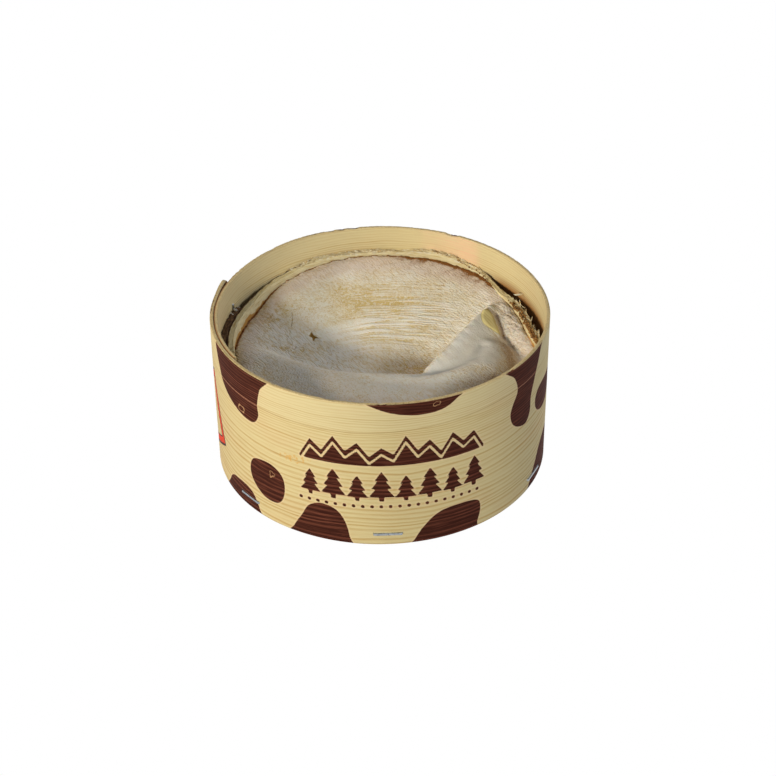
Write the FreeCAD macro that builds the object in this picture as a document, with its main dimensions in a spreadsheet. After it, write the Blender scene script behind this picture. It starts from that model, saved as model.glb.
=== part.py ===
"""Vacherin cheese in its round spruce box, as a parametric FreeCAD document.

The box is one long spruce veneer strip, rolled into a hoop that laps over itself at the
left, stapled to a thick spruce bottom. Inside, a strip of spruce bark girdles the cheese,
and the cheese fills the girdle: a shallow bowl whose skin is pushed up into a roll along
the front and a folded flap at the right.

Origin: centre of the box on the surface it stands on. +X right, +Y back, +Z up. Millimetres
and degrees. Angles run counter-clockwise from +X. A strip is described by its turn: an
unrolled angle that starts above 180 at the hidden inner end and falls as the strip runs
clockwise round the box, so that 158 and -202 are the same place one layer apart.
"""
import FreeCAD, Part
import Sketcher
import math
import os

Vector = FreeCAD.Vector

DIMENSIONS = (
    # the rolled veneer hoop
    ("hoop_radius", 65.1, "mean outer radius of the hoop"),
    ("hoop_oval", 0.2, "how far the hoop is squashed from left to right"),
    ("hoop_height", 63.0, "height of the hoop"),
    ("veneer_thick", 1.4, "thickness of the spruce veneer"),
    ("lap_inner_end", 212.0, "turn where the strip starts, under the lap"),
    ("lap_outer_end", -202.0, "turn where the strip ends, on the outside"),
    ("lap_gap_closed", 0.12, "gap in the lap where the layers lie together"),
    ("lap_gap_open", 0.25, "gap in the lap where the layers part"),
    ("lap_lift", 0.95, "how far the free end springs out"),
    ("lap_corner", 3.0, "radius of the free end's top corner"),
    # the bottom board
    ("bottom_recess", 2.0, "height of the bottom board above the table"),
    ("bottom_thick", 6.0, "thickness of the bottom board"),
    ("bottom_chamfer", 0.6, "chamfer round the bottom board"),
    ("fit_gap", 0.12, "clearance between pieces that lie together"),
    # the bark girdle
    ("girdle_drop", 12.6, "depth of the girdle's upper edge under the hoop's rim"),
    ("girdle_thick", 2.5, "thickness of the bark strip"),
    ("girdle_inner_end", 192.0, "turn where the bark strip starts, against the cheese"),
    ("girdle_outer_end", -202.0, "turn where the bark strip ends, against the hoop"),
    ("girdle_slack", 3.0, "widest gap between the girdle and the hoop, at the right"),
    ("girdle_back_rise", 2.2, "how much higher the girdle stands at the back"),
    ("girdle_peak_rise", 1.9, "extra rise at its highest place, back right"),
    # the cheese
    ("bowl_depth", 13.4, "depth of the bowl's lowest place under the girdle's top"),
    ("bowl_low_along", 10.0, "lowest place, to the right of the centre"),
    ("bowl_low_across", -8.0, "lowest place, behind the centre"),
    ("bowl_flat", 0.3, "how flat the bowl's middle is, from 0 for a cone"),
    ("rim_drop", 4.0, "how far the rind's edge lies under the girdle's top at the left"),
    ("rim_back_rise", 6.4, "how much higher the rind's edge is at the back"),
    ("rim_round", 1.8, "height of the rounding where the rind meets the girdle"),
    ("rim_round_wide", 5.0, "width of that rounding"),
    ("roll_curve", 15.5, "radius of the front roll's back"),
    ("roll_slope", 4.9, "slope at which the roll's back stops curving"),
    ("roll_front_curve", 62.0, "radius of the front roll's front"),
    ("roll_end_curve", 12.0, "radius of the roll's front where it ends, at the right"),
    ("flap_curve", 17.0, "radius of the flap's outer side"),
    ("roll_blend", 1.6, "width of the rounding between the roll and the bowl"),
    ("flap_blend", 1.8, "width of the rounding between the flap and the rest"),
    ("flap_slope", 2.2, "slope of the flap's face over the bowl"),
    ("trench_narrow", 1.6, "half width of the trench beside the flap's tip"),
    ("trench_wide", 7.5, "half width of the trench at its front end"),
    # the staples
    ("wire_wide", 0.9, "width of the staple wire"),
    ("wire_thick", 0.6, "thickness of the staple wire"),
    ("wire_bend", 0.7, "outer radius of the staple's bends"),
    ("crown_long", 11.0, "length of a staple's crown"),
    ("crown_proud", 0.4, "how far a crown stands out of the wood"),
    ("leg_long", 9.0, "length of the legs that hold the bottom"),
    ("clinch_long", 2.2, "length of a leg's end bent flat behind the lap"),
    ("lap_staple_turn", -199.5, "turn of the staples that close the lap"),
    ("lap_staple_drop", 15.6, "depth of the upper lap staple's middle under the rim"),
    ("lap_staple_low", 20.0, "height of the lower lap staple's middle"),
)

# Staples round the foot, as degrees to the right of the front.
FOOT_STAPLES = (2.0, 64.0, 121.0, 178.0, 236.0, 310.0)

# Crest lines of the two folds, as shares of the cheese's radius, with the crest's
# depth under the girdle's top in millimetres.
ROLL_CREST = (
    (-0.984, 0.082, 5.4),
    (-0.852, -0.082, 3.6),
    (-0.623, -0.270, 2.4),
    (-0.361, -0.418, 1.4),
    (-0.098, -0.484, 0.6),
    (0.148, -0.508, 0.3),
    (0.361, -0.500, 0.2),
    (0.516, -0.418, 0.4),
    (0.623, -0.270, 0.8),
    (0.672, -0.082, 1.5),
)
FLAP_CREST = (
    (0.197, -0.443, 5.4),
    (0.295, -0.270, 2.8),
    (0.402, -0.107, 1.2),
    (0.508, 0.057, 0.2),
    (0.598, 0.197, -0.4),
    (0.672, 0.328, 0.2),
)
# The trench between the folds and the rind at the right, with its depth.
TRENCH = (
    (0.721, 0.377, 1.5),
    (0.754, 0.246, 3.0),
    (0.780, 0.115, 4.0),
    (0.803, 0.000, 5.0),
    (0.828, -0.131, 6.0),
    (0.803, -0.295, 5.0),
    (0.721, -0.443, 3.0),
)

# Stretches of a turn, in degrees, over which a radius or a height changes smoothly.
UNDER_LAP = (112.0, 150.0)          # the hoop steps in, to pass under its own free end
LAP_OPENS = (148.0, 164.0)          # the lap's layers part
LAP_CLOSES = (186.0, 200.0)         # and come together again
FREE_END_LIFTS = 14.0               # length of the free end that springs out
INNER_END_EASES = 12.0              # past the hoop's hidden end, what is inside moves out
GIRDLE_UNDER_LAP = (128.0, 156.0)   # the girdle steps in, to pass under its own end
GIRDLE_LEAVES = (-10.0, 12.0)       # the girdle leaves the hoop
GIRDLE_RETURNS = (26.0, 50.0)       # and leans on it again
GIRDLE_END_EASES = 14.0             # past the girdle's inner end, the cheese moves out
GIRDLE_RISES = (38.0, 58.0)         # the girdle's upper edge rises towards the back
GIRDLE_FALLS = (112.0, 130.0)
PEAK_RISES = (52.0, 66.0)           # its highest place
PEAK_FALLS = (70.0, 84.0)
RIM_RISES = (-40.0, 70.0)           # the rind's edge rises towards the back
RIM_FALLS = (95.0, 165.0)
# Shares of the roll's length between which its front grows steep towards its right end.
ROLL_END = (0.62, 0.95)
FRONT = 270.0           # a full turn counted back from the front, clear of the lap

RIM_ROUND_REACH = 1.5   # the rim's rounding stops falling this far out, in its own widths
SURFACE_PITCH = 2.5     # spacing of the points that carry the cheese's upper surface
STRIP_STEP = 5.0        # degrees between the points that carry a rolled strip

doc = FreeCAD.newDocument("vacherin")
sheet = doc.addObject("Spreadsheet::Sheet", "Dimensions")
for row, (alias, value, meaning) in enumerate(DIMENSIONS, start=1):
    sheet.set("A%d" % row, meaning)
    sheet.set("B%d" % row, str(value))
    sheet.setAlias("B%d" % row, alias)
doc.recompute()


def size(alias):
    """A driving dimension, read from the sheet."""
    return float(sheet.get(alias))


def bind(thing, path, formula):
    """Binds a property to a formula of sheet aliases written in angle brackets."""
    thing.setExpression(path, formula.replace("<", "Dimensions.").replace(">", ""))


def ramp(value, start, end):
    """Smooth step from 0 at start to 1 at end."""
    share = min(max((value - start) / (end - start), 0.0), 1.0)
    return share * share * (3.0 - 2.0 * share)


def polar(radius, degrees):
    angle = math.radians(degrees)
    return Vector(radius * math.cos(angle), radius * math.sin(angle), 0)


# ---------------------------------------------------------------- rolled strips

GIRDLE_TOP = size("hoop_height") - size("girdle_drop")
LAYER_STEP = size("veneer_thick") + size("lap_gap_closed")
GIRDLE_STEP = size("girdle_thick") + size("lap_gap_closed")


def hoop_outside(turn):
    """Outer radius of the veneer strip."""
    radius = size("hoop_radius") - size("hoop_oval") * math.cos(math.radians(2 * turn))
    radius -= LAYER_STEP * ramp(turn, *UNDER_LAP)
    parting = size("lap_gap_open") - size("lap_gap_closed")
    radius -= parting * ramp(turn, *LAP_OPENS) * (1 - ramp(turn, *LAP_CLOSES))
    free_end = size("lap_outer_end")
    return radius + size("lap_lift") * (1 - ramp(turn, free_end, free_end + FREE_END_LIFTS))


def hoop_inside(turn):
    return hoop_outside(turn) - size("veneer_thick")


def one_turn(turn, start):
    """The same place with its turn in the 360 degrees up to start."""
    return start - (start - turn) % 360


def room_inside(radius, turn, start, eases):
    """Radius that is free inside a strip, eased past the strip's start."""
    low = start - 360
    eased = (radius(low) - radius(start)) * (1 - ramp(turn, low, low + eases))
    return radius(turn) - eased - size("fit_gap")


def room_in_hoop(turn):
    return room_inside(hoop_inside, turn, size("lap_inner_end"), INNER_END_EASES)


def girdle_outside(turn):
    """Outer radius of the bark strip, which leans on the hoop except at the right."""
    room = room_in_hoop(one_turn(turn, size("lap_inner_end")))
    slack = ramp(turn, *GIRDLE_LEAVES) * (1 - ramp(turn, *GIRDLE_RETURNS))
    under_lap = (GIRDLE_STEP + size("fit_gap")) * ramp(turn, *GIRDLE_UNDER_LAP)
    return room - size("girdle_slack") * slack - under_lap


def girdle_inside(turn):
    return girdle_outside(turn) - size("girdle_thick")


def room_in_girdle(turn):
    start = size("girdle_inner_end")
    return room_inside(girdle_inside, one_turn(turn, start), start, GIRDLE_END_EASES)


def turns(start, end):
    """Turns from start down to end, evenly spaced."""
    count = round(abs(start - end) / STRIP_STEP)
    return [start + (end - start) * i / count for i in range(count + 1)]


def strip_face(inside, outside, start, end):
    """Plan of a rolled strip: two spirals closed by its two ends."""
    spirals = []
    for radius in (outside, inside):
        spiral = Part.BSplineCurve()
        spiral.interpolate([polar(radius(turn), turn) for turn in turns(start, end)])
        spirals.append(spiral)
    outer, inner = spirals
    ends = [
        Part.LineSegment(outer.EndPoint, inner.EndPoint),
        Part.LineSegment(inner.StartPoint, outer.StartPoint),
    ]
    edges = [outer.toShape(), ends[0].toShape(), inner.toShape(), ends[1].toShape()]
    return Part.Face(Part.Wire(Part.__sortEdges__(edges)))


def round_face(radius, start):
    """Plan of a piece that fills a rolled strip."""
    rim = Part.BSplineCurve()
    points = [polar(radius(turn), turn) for turn in turns(start, start - 360)[:-1]]
    rim.interpolate(points, True)
    return Part.Face(Part.Wire(rim.toShape()))


def add_plan(name, face):
    plan = doc.addObject("Part::Feature", name)
    plan.Shape = face
    return plan


def add_extrusion(name, plan, low, high):
    """Extrudes a plan between two heights, given as formulas."""
    block = doc.addObject("Part::Extrusion", name)
    block.Base = plan
    block.DirMode = "Custom"
    block.Dir = Vector(0, 0, 1)
    block.Solid = True
    bind(block, "LengthFwd", "(%s) - (%s)" % (high, low))
    bind(block, "Placement.Base.z", low)
    return block


# ---------------------------------------------------------------- upper surfaces

def blend(first, second, width):
    """The higher of two heights, with the corner between them rounded over width."""
    share = min(max(0.5 + 0.5 * (first - second) / width, 0.0), 1.0)
    return second + (first - second) * share + width * share * (1 - share)


REACH = size("hoop_radius") - size("veneer_thick") - size("girdle_thick")


class Line:
    """A line over the cheese that carries a value along its way."""

    def __init__(self, points, samples=60):
        line = Part.BSplineCurve()
        line.interpolate([Vector(x * REACH, y * REACH, value) for x, y, value in points])
        self.points = line.discretize(samples)

    def beside(self, x, y):
        """Distance, positive to the line's left, its value there and the share passed."""
        nearest = None
        for index, (a, b) in enumerate(zip(self.points, self.points[1:])):
            run_x, run_y = b.x - a.x, b.y - a.y
            share = ((x - a.x) * run_x + (y - a.y) * run_y) / (run_x ** 2 + run_y ** 2)
            share = min(max(share, 0.0), 1.0)
            off_x, off_y = x - a.x - share * run_x, y - a.y - share * run_y
            away = math.hypot(off_x, off_y)
            if nearest is None or away < nearest[0]:
                side = math.copysign(away, run_x * off_y - run_y * off_x)
                passed = (index + share) / (len(self.points) - 1)
                nearest = (away, side, a.z + share * (b.z - a.z), passed)
        return nearest[1:]


ROLL = Line(ROLL_CREST)
FLAP = Line(FLAP_CREST)
VALLEY = Line(TRENCH)


def place_of(x, y):
    """Angle of a point round the box, in the 360 degrees up to the front."""
    return one_turn(math.degrees(math.atan2(y, x)), FRONT)


def girdle_height(x, y):
    """Height of the girdle's upper edge."""
    place = place_of(x, y)
    back = ramp(place, *GIRDLE_RISES) * (1 - ramp(place, *GIRDLE_FALLS))
    peak = ramp(place, *PEAK_RISES) * (1 - ramp(place, *PEAK_FALLS))
    return GIRDLE_TOP + size("girdle_back_rise") * back + size("girdle_peak_rise") * peak


def rind_edge(place):
    """Height of the rind where it meets the girdle, before it is rounded."""
    back = ramp(place, *RIM_RISES) * (1 - ramp(place, *RIM_FALLS))
    return GIRDLE_TOP - size("rim_drop") + size("rim_back_rise") * back


def bowl_height(x, y):
    """The bowl, rising from its lowest place to the rind's edge, with the trench in it."""
    low_x, low_y = size("bowl_low_along"), size("bowl_low_across")
    run = max(math.hypot(x - low_x, y - low_y), 1e-6)
    along = (low_x * (x - low_x) + low_y * (y - low_y)) / run
    share = run / (math.sqrt(along ** 2 + REACH ** 2 - low_x ** 2 - low_y ** 2) - along)
    flat = size("bowl_flat")
    lift = (1 + flat) * share ** 2 / (share + flat)
    deepest = GIRDLE_TOP - size("bowl_depth")
    edge = rind_edge(place_of(x, y))
    side, depth, passed = VALLEY.beside(x, y)
    wide = size("trench_narrow") + (size("trench_wide") - size("trench_narrow")) * passed
    return deepest + (edge - deepest) * lift - depth * math.exp(-(side / wide) ** 2)


def roll_height(x, y):
    """The front roll: steep towards the bowl, gentle towards the box."""
    side, depth, passed = ROLL.beside(x, y)
    crest = GIRDLE_TOP - depth
    curve = size("roll_curve")
    if side > 0:
        steep = size("roll_slope")
        across = min(side, curve * steep / math.hypot(steep, 1))
        drop = curve - math.sqrt(curve ** 2 - across ** 2)
        return crest - drop - steep * (side - across)
    end = ramp(passed, *ROLL_END)
    curve = size("roll_front_curve") * (1 - end) + size("roll_end_curve") * end
    return crest - side ** 2 / (2 * curve)


def flap_height(x, y):
    """The flap: a steep face over the bowl and a rounded back to the right."""
    side, depth, passed = FLAP.beside(x, y)
    crest = GIRDLE_TOP - depth
    if side > 0:
        return crest - size("flap_slope") * side
    return crest - side ** 2 / (2 * size("flap_curve"))


def cheese_height(x, y):
    """Height of the cheese: the bowl, with the roll and the flap standing out of it."""
    folded = blend(bowl_height(x, y), roll_height(x, y), size("roll_blend"))
    height = blend(folded, flap_height(x, y), size("flap_blend"))
    inside = (room_in_girdle(place_of(x, y)) - math.hypot(x, y)) / size("rim_round_wide")
    height -= size("rim_round") * min(max(0.0, 1 - inside), RIM_ROUND_REACH) ** 2
    return max(height, GIRDLE_TOP - size("bowl_depth"))


def under_surface(name, height, pitch):
    """Solid under a height function, wider than the box and down to the table."""
    reach = size("hoop_radius") + pitch
    count = round(2 * reach / pitch)
    marks = [-reach + 2 * reach * i / count for i in range(count + 1)]
    surface = Part.BSplineSurface()
    surface.interpolate([[Vector(x, y, height(x, y)) for y in marks] for x in marks])
    block = doc.addObject("Part::Feature", name)
    block.Shape = surface.toShape().extrude(Vector(0, 0, -size("hoop_height")))
    return block


# ---------------------------------------------------------------- staples

def staple_outline(sketch, crown, leg, clinch):
    """Closed outline of a staple's wire seen along its width, with rounded bends.

    The crown lies along X with its outer side at Y 0. The legs run towards +Y, and
    their last stretch, if clinched, is bent inwards.
    """
    wire = size("wire_thick")
    half = crown / 2
    right = [(half, leg)]
    if clinch:
        right += [(half - clinch, leg), (half - clinch, leg - wire), (half - wire, leg - wire)]
    else:
        right += [(half - wire, leg)]
    right += [(half - wire, wire)]
    left = [(-x, y) for x, y in reversed(right)]
    corners = [(half, 0)] + right + left + [(-half, 0)]
    points = [Vector(x, y, 0) for x, y in corners]
    count = len(points)
    for i in range(count):
        sketch.addGeometry(Part.LineSegment(points[i], points[(i + 1) % count]), False)
    for i in range(count):
        sketch.addConstraint(Sketcher.Constraint("Coincident", i, 2, (i + 1) % count, 1))
        run = points[(i + 1) % count] - points[i]
        level = "Horizontal" if abs(run.y) < abs(run.x) else "Vertical"
        sketch.addConstraint(Sketcher.Constraint(level, i))
    crown_line = count - 1
    named = (
        ("Crown", ("DistanceX", crown_line, 1, crown_line, 2, crown), "<crown_long>"),
        ("Leg", ("DistanceY", 0, 1, 0, 2, leg), None),
    )
    for name, parts, formula in named:
        sketch.addConstraint(Sketcher.Constraint(*parts))
        sketch.renameConstraint(sketch.ConstraintCount - 1, name)
        if formula:
            bind(sketch, "Constraints." + name, formula)


def add_staple(name, leg, leg_formula, clinch=0.0):
    """One staple as a body: its outline padded to the wire's width, with rounded bends."""
    body = doc.addObject("PartDesign::Body", name)
    sketch = body.newObject("Sketcher::SketchObject", name + "_outline")
    plane = next(f for f in body.Origin.OriginFeatures if f.Role == "XY_Plane")
    sketch.AttachmentSupport = [(plane, "")]
    sketch.MapMode = "FlatFace"
    staple_outline(sketch, size("crown_long"), leg, clinch)
    bind(sketch, "Constraints.Leg", leg_formula)
    pad = body.newObject("PartDesign::Pad", name + "_wire")
    pad.Profile = sketch
    pad.Midplane = True
    bind(pad, "Length", "<wire_wide>")
    doc.recompute()
    bends = []
    for number, edge in enumerate(pad.Shape.Edges, start=1):
        ends = [vertex.Point for vertex in edge.Vertexes]
        upright = len(ends) == 2 and abs((ends[0] - ends[1]).z) > 0.5 * size("wire_wide")
        outer = abs(abs(ends[0].x) - size("crown_long") / 2) < 1e-6
        at_bend = abs(ends[0].y) < 1e-6 or (clinch and abs(ends[0].y - leg) < 1e-6)
        if upright and outer and at_bend:
            bends.append("Edge%d" % number)
    rounding = body.newObject("PartDesign::Fillet", name + "_bends")
    rounding.Base = (pad, bends)
    bind(rounding, "Radius", "<wire_bend>")
    body.Tip = rounding
    return body


def seat_staple(body, turn, height, upright):
    """Puts a staple on the hoop's outer face, crown level or upright, legs inwards."""
    radius = hoop_outside(turn) + size("crown_proud")
    facing = FreeCAD.Rotation(Vector(0, 0, 1), turn + 90)
    if upright:
        facing = facing.multiply(FreeCAD.Rotation(Vector(0, 1, 0), 90))
    body.Placement = FreeCAD.Placement(polar(radius, turn) + Vector(0, 0, height), facing)


staples = []
foot_height = size("bottom_recess") + size("bottom_thick") / 2
for number, right_of_front in enumerate(FOOT_STAPLES, start=1):
    staple = add_staple("foot_staple_%d" % number, size("leg_long"), "<leg_long>")
    turn = one_turn(right_of_front - 90, size("lap_outer_end") + 360)
    seat_staple(staple, turn, foot_height, upright=False)
    staples.append(staple)

lap_turn = size("lap_staple_turn")
lap_depth = hoop_outside(lap_turn) - hoop_inside(lap_turn + 360)
lap_leg = lap_depth + size("crown_proud") + size("wire_thick")
lap_heights = (size("hoop_height") - size("lap_staple_drop"), size("lap_staple_low"))
for number, height in enumerate(lap_heights, start=1):
    staple = add_staple(
        "lap_staple_%d" % number, lap_leg,
        "%.6f + <crown_proud> + <wire_thick>" % lap_depth, clinch=size("clinch_long"))
    seat_staple(staple, lap_turn, height, upright=True)
    staples.append(staple)
doc.recompute()


def add_cut(name, base, tools):
    """A piece with the staples' holes in it."""
    seats = doc.addObject("Part::Compound", name + "_staples")
    seats.Links = tools
    cut = doc.addObject("Part::Cut", name)
    cut.Base = base
    cut.Tool = seats
    return cut


# ---------------------------------------------------------------- hoop

hoop_plan = add_plan("hoop_plan", strip_face(
    hoop_inside, hoop_outside, size("lap_inner_end"), size("lap_outer_end")))
hoop_strip = add_extrusion("hoop_strip", hoop_plan, "0", "<hoop_height>")
doc.recompute()

free_end = size("lap_outer_end")
corner_spot = polar(hoop_outside(free_end) - size("veneer_thick") / 2, free_end)
corner_spot.z = size("hoop_height")
corner_edge = min(
    range(len(hoop_strip.Shape.Edges)),
    key=lambda i: (hoop_strip.Shape.Edges[i].CenterOfMass - corner_spot).Length) + 1
hoop_rounded = doc.addObject("Part::Fillet", "hoop_rounded")
hoop_rounded.Base = hoop_strip
hoop_rounded.Edges = [(corner_edge, size("lap_corner"), size("lap_corner"))]
hoop = add_cut("hoop", hoop_rounded, staples)

# ---------------------------------------------------------------- bottom board

bottom_plan = add_plan("bottom_plan", round_face(room_in_hoop, size("lap_inner_end")))
bottom_board = add_extrusion(
    "bottom_board", bottom_plan, "<bottom_recess>", "<bottom_recess> + <bottom_thick>")
doc.recompute()
bottom_edged = doc.addObject("Part::Chamfer", "bottom_edged")
bottom_edged.Base = bottom_board
bottom_edged.Edges = [
    (number, size("bottom_chamfer"), size("bottom_chamfer"))
    for number, edge in enumerate(bottom_board.Shape.Edges, start=1)
    if edge.BoundBox.ZLength < 0.01]
bottom = add_cut("bottom", bottom_edged, staples[:len(FOOT_STAPLES)])

# ---------------------------------------------------------------- bark girdle

TALL = "<hoop_height> - <girdle_drop> + 2 * <girdle_back_rise> + 2 * <girdle_peak_rise>"
FLOOR = "<bottom_recess> + <bottom_thick>"
girdle_plan = add_plan("girdle_plan", strip_face(
    girdle_inside, girdle_outside, size("girdle_inner_end"), size("girdle_outer_end")))
girdle_strip = add_extrusion("girdle_strip", girdle_plan, FLOOR, TALL)
girdle_ring = doc.addObject("Part::Common", "girdle_ring")
girdle_ring.Base = girdle_strip
girdle_ring.Tool = under_surface("girdle_limit", girdle_height, 2 * SURFACE_PITCH)
girdle = add_cut("bark_girdle", girdle_ring, staples[len(FOOT_STAPLES):])

# ---------------------------------------------------------------- cheese

cheese_plan = add_plan("cheese_plan", round_face(room_in_girdle, size("girdle_inner_end")))
cheese_block = add_extrusion("cheese_block", cheese_plan, FLOOR, TALL)
cheese = doc.addObject("Part::Common", "cheese")
cheese.Base = cheese_block
cheese.Tool = under_surface("cheese_limit", cheese_height, SURFACE_PITCH)
doc.recompute()

# ---------------------------------------------------------------- check and write

pieces = [hoop, bottom, girdle, cheese] + staples
for thing in doc.Objects:
    if "Invalid" in thing.State or "Error" in thing.State:
        raise RuntimeError("%s failed: %s" % (thing.Label, thing.State))
for piece in pieces:
    shape = piece.Shape
    if shape.isNull() or not shape.isValid() or len(shape.Solids) != 1:
        raise RuntimeError("%s isn't one valid solid" % piece.Label)

os.makedirs("parts", exist_ok=True)
whole = FreeCAD.BoundBox()
for piece in pieces:
    piece.Shape.exportStep(os.path.join("parts", piece.Label + ".step"))
    whole.add(piece.Shape.optimalBoundingBox(False))
    print("%-16s %8.1f cm3" % (piece.Label, piece.Shape.Volume / 1000))
print("whole: X %.2f..%.2f  Y %.2f..%.2f  Z %.2f..%.2f" % (
    whole.XMin, whole.XMax, whole.YMin, whole.YMax, whole.ZMin, whole.ZMax))
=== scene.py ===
"""Looks of a vacherin cheese in its round spruce box.

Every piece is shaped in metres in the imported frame: +X right, +Y back, +Z up, origin under
the middle of the box. The hoop and the bark girdle are rolled strips, described by their
turn: an unrolled angle that falls as the strip runs clockwise, so that 158 and -202 degrees
are the same place one layer apart. Places round the box are degrees to the right of the
front, and a strip's attributes hold its unrolled length, its height and its depth.
"""
import functools
import math

import bpy
import numpy as np
from bpy.props import FloatProperty, FloatVectorProperty, PointerProperty
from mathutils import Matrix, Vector
from mathutils.bvhtree import BVHTree


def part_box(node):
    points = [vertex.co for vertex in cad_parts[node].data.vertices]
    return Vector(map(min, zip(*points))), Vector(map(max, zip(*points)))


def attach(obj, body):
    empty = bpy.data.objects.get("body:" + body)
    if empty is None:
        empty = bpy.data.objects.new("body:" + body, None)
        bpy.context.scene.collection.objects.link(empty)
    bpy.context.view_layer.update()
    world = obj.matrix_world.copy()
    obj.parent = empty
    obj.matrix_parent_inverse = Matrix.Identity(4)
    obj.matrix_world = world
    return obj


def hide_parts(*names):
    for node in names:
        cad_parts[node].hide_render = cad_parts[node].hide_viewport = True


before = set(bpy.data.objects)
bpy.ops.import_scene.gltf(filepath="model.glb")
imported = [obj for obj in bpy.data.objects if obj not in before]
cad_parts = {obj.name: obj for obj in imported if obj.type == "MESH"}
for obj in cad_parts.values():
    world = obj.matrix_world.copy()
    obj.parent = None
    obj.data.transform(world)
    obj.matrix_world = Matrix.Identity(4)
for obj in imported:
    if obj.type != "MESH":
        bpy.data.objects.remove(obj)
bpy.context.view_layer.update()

bl_info = {
    "name": "Vacherin in a spruce box",
    "version": (1, 0, 0),
    "blender": (4, 5, 0),
    "location": "View3D > Sidebar > Vacherin",
    "description": "Spruce hoop, bark girdle, washed-rind cheese and their setting",
    "category": "Object",
}

MM = 0.001
FRONT = -90.0           # the front's angle from +X, in degrees
WHOLE_PLAN = 0.1        # a margin that takes in the whole cheese


# ---------------------------------------------------------------- values and colours

def linear(code):
    """Linear RGBA of an sRGB colour written as six hex digits."""
    shares = [int(code[i:i + 2], 16) / 255 for i in (0, 2, 4)]
    return [s / 12.92 if s <= 0.04045 else ((s + 0.055) / 1.055) ** 2.4 for s in shares] + [1.0]


def length(name, description, millimetres):
    return FloatProperty(
        name=name, description=description, default=millimetres * MM, min=0.0,
        unit="LENGTH", precision=5)


def colour(name, description, code):
    return FloatVectorProperty(
        name=name, description=description, default=linear(code), size=4,
        subtype="COLOR", min=0.0, max=1.0)


def ramp(value, start, end):
    """Smooth step from 0 at start to 1 at end."""
    share = np.clip((value - start) / (end - start), 0.0, 1.0)
    return share * share * (3.0 - 2.0 * share)


def mixed(first, second, share):
    return first + (second - first) * share


def drift(x, y, size, seed, layers=3):
    """Smooth random values, about -1 to 1, whose hills are about one size wide."""
    lattice = np.random.default_rng(seed).uniform(-1, 1, (128, 128))
    total = np.zeros(np.broadcast(x, y).shape)
    for layer in range(layers):
        u = x / size * 2 ** layer + 31.7 * layer + 512
        v = y / size * 2 ** layer + 13.3 * layer + 512
        i, j = np.floor(u).astype(int), np.floor(v).astype(int)
        fu, fv = ramp(u - i, 0, 1), ramp(v - j, 0, 1)
        low = mixed(lattice[i % 128, j % 128], lattice[(i + 1) % 128, j % 128], fu)
        high = mixed(lattice[i % 128, (j + 1) % 128], lattice[(i + 1) % 128, (j + 1) % 128], fu)
        total += mixed(low, high, fv) * 0.6 ** layer
    return total


def on_plan(points):
    """Millimetres right and back of the middle, as metres."""
    return [(u * MM, v * MM) for u, v in points]


def hill(x, y, right, back, wide, deep):
    """Smooth hill on the plan, 1 at its middle, with its place and size in millimetres."""
    return np.exp(-((x - right * MM) / (wide * MM)) ** 2 - ((y - back * MM) / (deep * MM)) ** 2)


def fade(distance, reach):
    """1 at no distance, and close to 0 at twice the reach, in millimetres."""
    return np.exp(-(distance / (reach * MM)) ** 2)


# ---------------------------------------------------------------- mesh helpers

def deselect():
    if bpy.context.object and bpy.context.object.mode != "OBJECT":
        bpy.ops.object.mode_set(mode="OBJECT")
    bpy.ops.object.select_all(action="DESELECT")


def new_grid(name, columns, rows):
    """A flat grid, with each vertex's column and row."""
    deselect()
    bpy.ops.mesh.primitive_grid_add(x_subdivisions=columns, y_subdivisions=rows, size=1)
    piece = bpy.context.object
    piece.name = piece.data.name = name
    spots = read_points(piece)
    column = np.rint((spots[:, 0] + 0.5) * columns).astype(int)
    row = np.rint((spots[:, 1] + 0.5) * rows).astype(int)
    return piece, column, row


def read_points(piece):
    points = np.empty(len(piece.data.vertices) * 3)
    piece.data.vertices.foreach_get("co", points)
    return points.reshape(-1, 3)


def write_points(piece, points):
    piece.data.vertices.foreach_set("co", np.ascontiguousarray(points).ravel())
    piece.data.update()


def write_rolled(piece, turn, radius, z):
    """Places each vertex by its turn, its radius and its height."""
    angle = np.radians(turn)
    write_points(piece, np.stack([radius * np.cos(angle), radius * np.sin(angle), z], 1))


def write_attribute(piece, name, *values):
    """Stores three values for each vertex, as a vector attribute."""
    attribute = piece.data.attributes.new(name, "FLOAT_VECTOR", "POINT")
    attribute.data.foreach_set("vector", np.stack(values, 1).ravel())


def finish_mesh(piece, angle):
    """Turns the faces outwards and shades them smooth up to an angle."""
    bpy.ops.object.mode_set(mode="EDIT")
    bpy.ops.mesh.select_all(action="SELECT")
    bpy.ops.mesh.normals_make_consistent(inside=False)
    bpy.ops.object.mode_set(mode="OBJECT")
    bpy.ops.object.shade_smooth_by_angle(angle=math.radians(angle))


def close_strip():
    """Merges the sheet's two long edges, so that it is a tube, and caps its ends."""
    bpy.ops.object.mode_set(mode="EDIT")
    bpy.ops.mesh.select_all(action="SELECT")
    bpy.ops.mesh.remove_doubles(threshold=0.001 * MM)
    bpy.ops.mesh.fill_holes(sides=0)
    bpy.ops.object.mode_set(mode="OBJECT")


def dress(piece, material, slot, *nodes):
    """Gives a piece its material and its body, and hides any CAD parts that it stands in for."""
    piece.data.materials.clear()
    piece.data.materials.append(material)
    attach(piece, "root")
    if nodes:
        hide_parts(*nodes)


# ---------------------------------------------------------------- outlines of the print

def smooth_outline(points, steps=8):
    """Closed curve through the points."""
    points = np.array(points, float)
    before, after, beyond = (np.roll(points, -k, 0) for k in (-1, 1, 2))
    shares = np.linspace(0, 1, steps, endpoint=False)[:, None, None]
    curve = 0.5 * (
        2 * points + (after - before) * shares
        + (2 * before - 5 * points + 4 * after - beyond) * shares ** 2
        + (3 * points - before - 3 * after + beyond) * shares ** 3)
    return curve.transpose(1, 0, 2).reshape(-1, 2)


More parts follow.
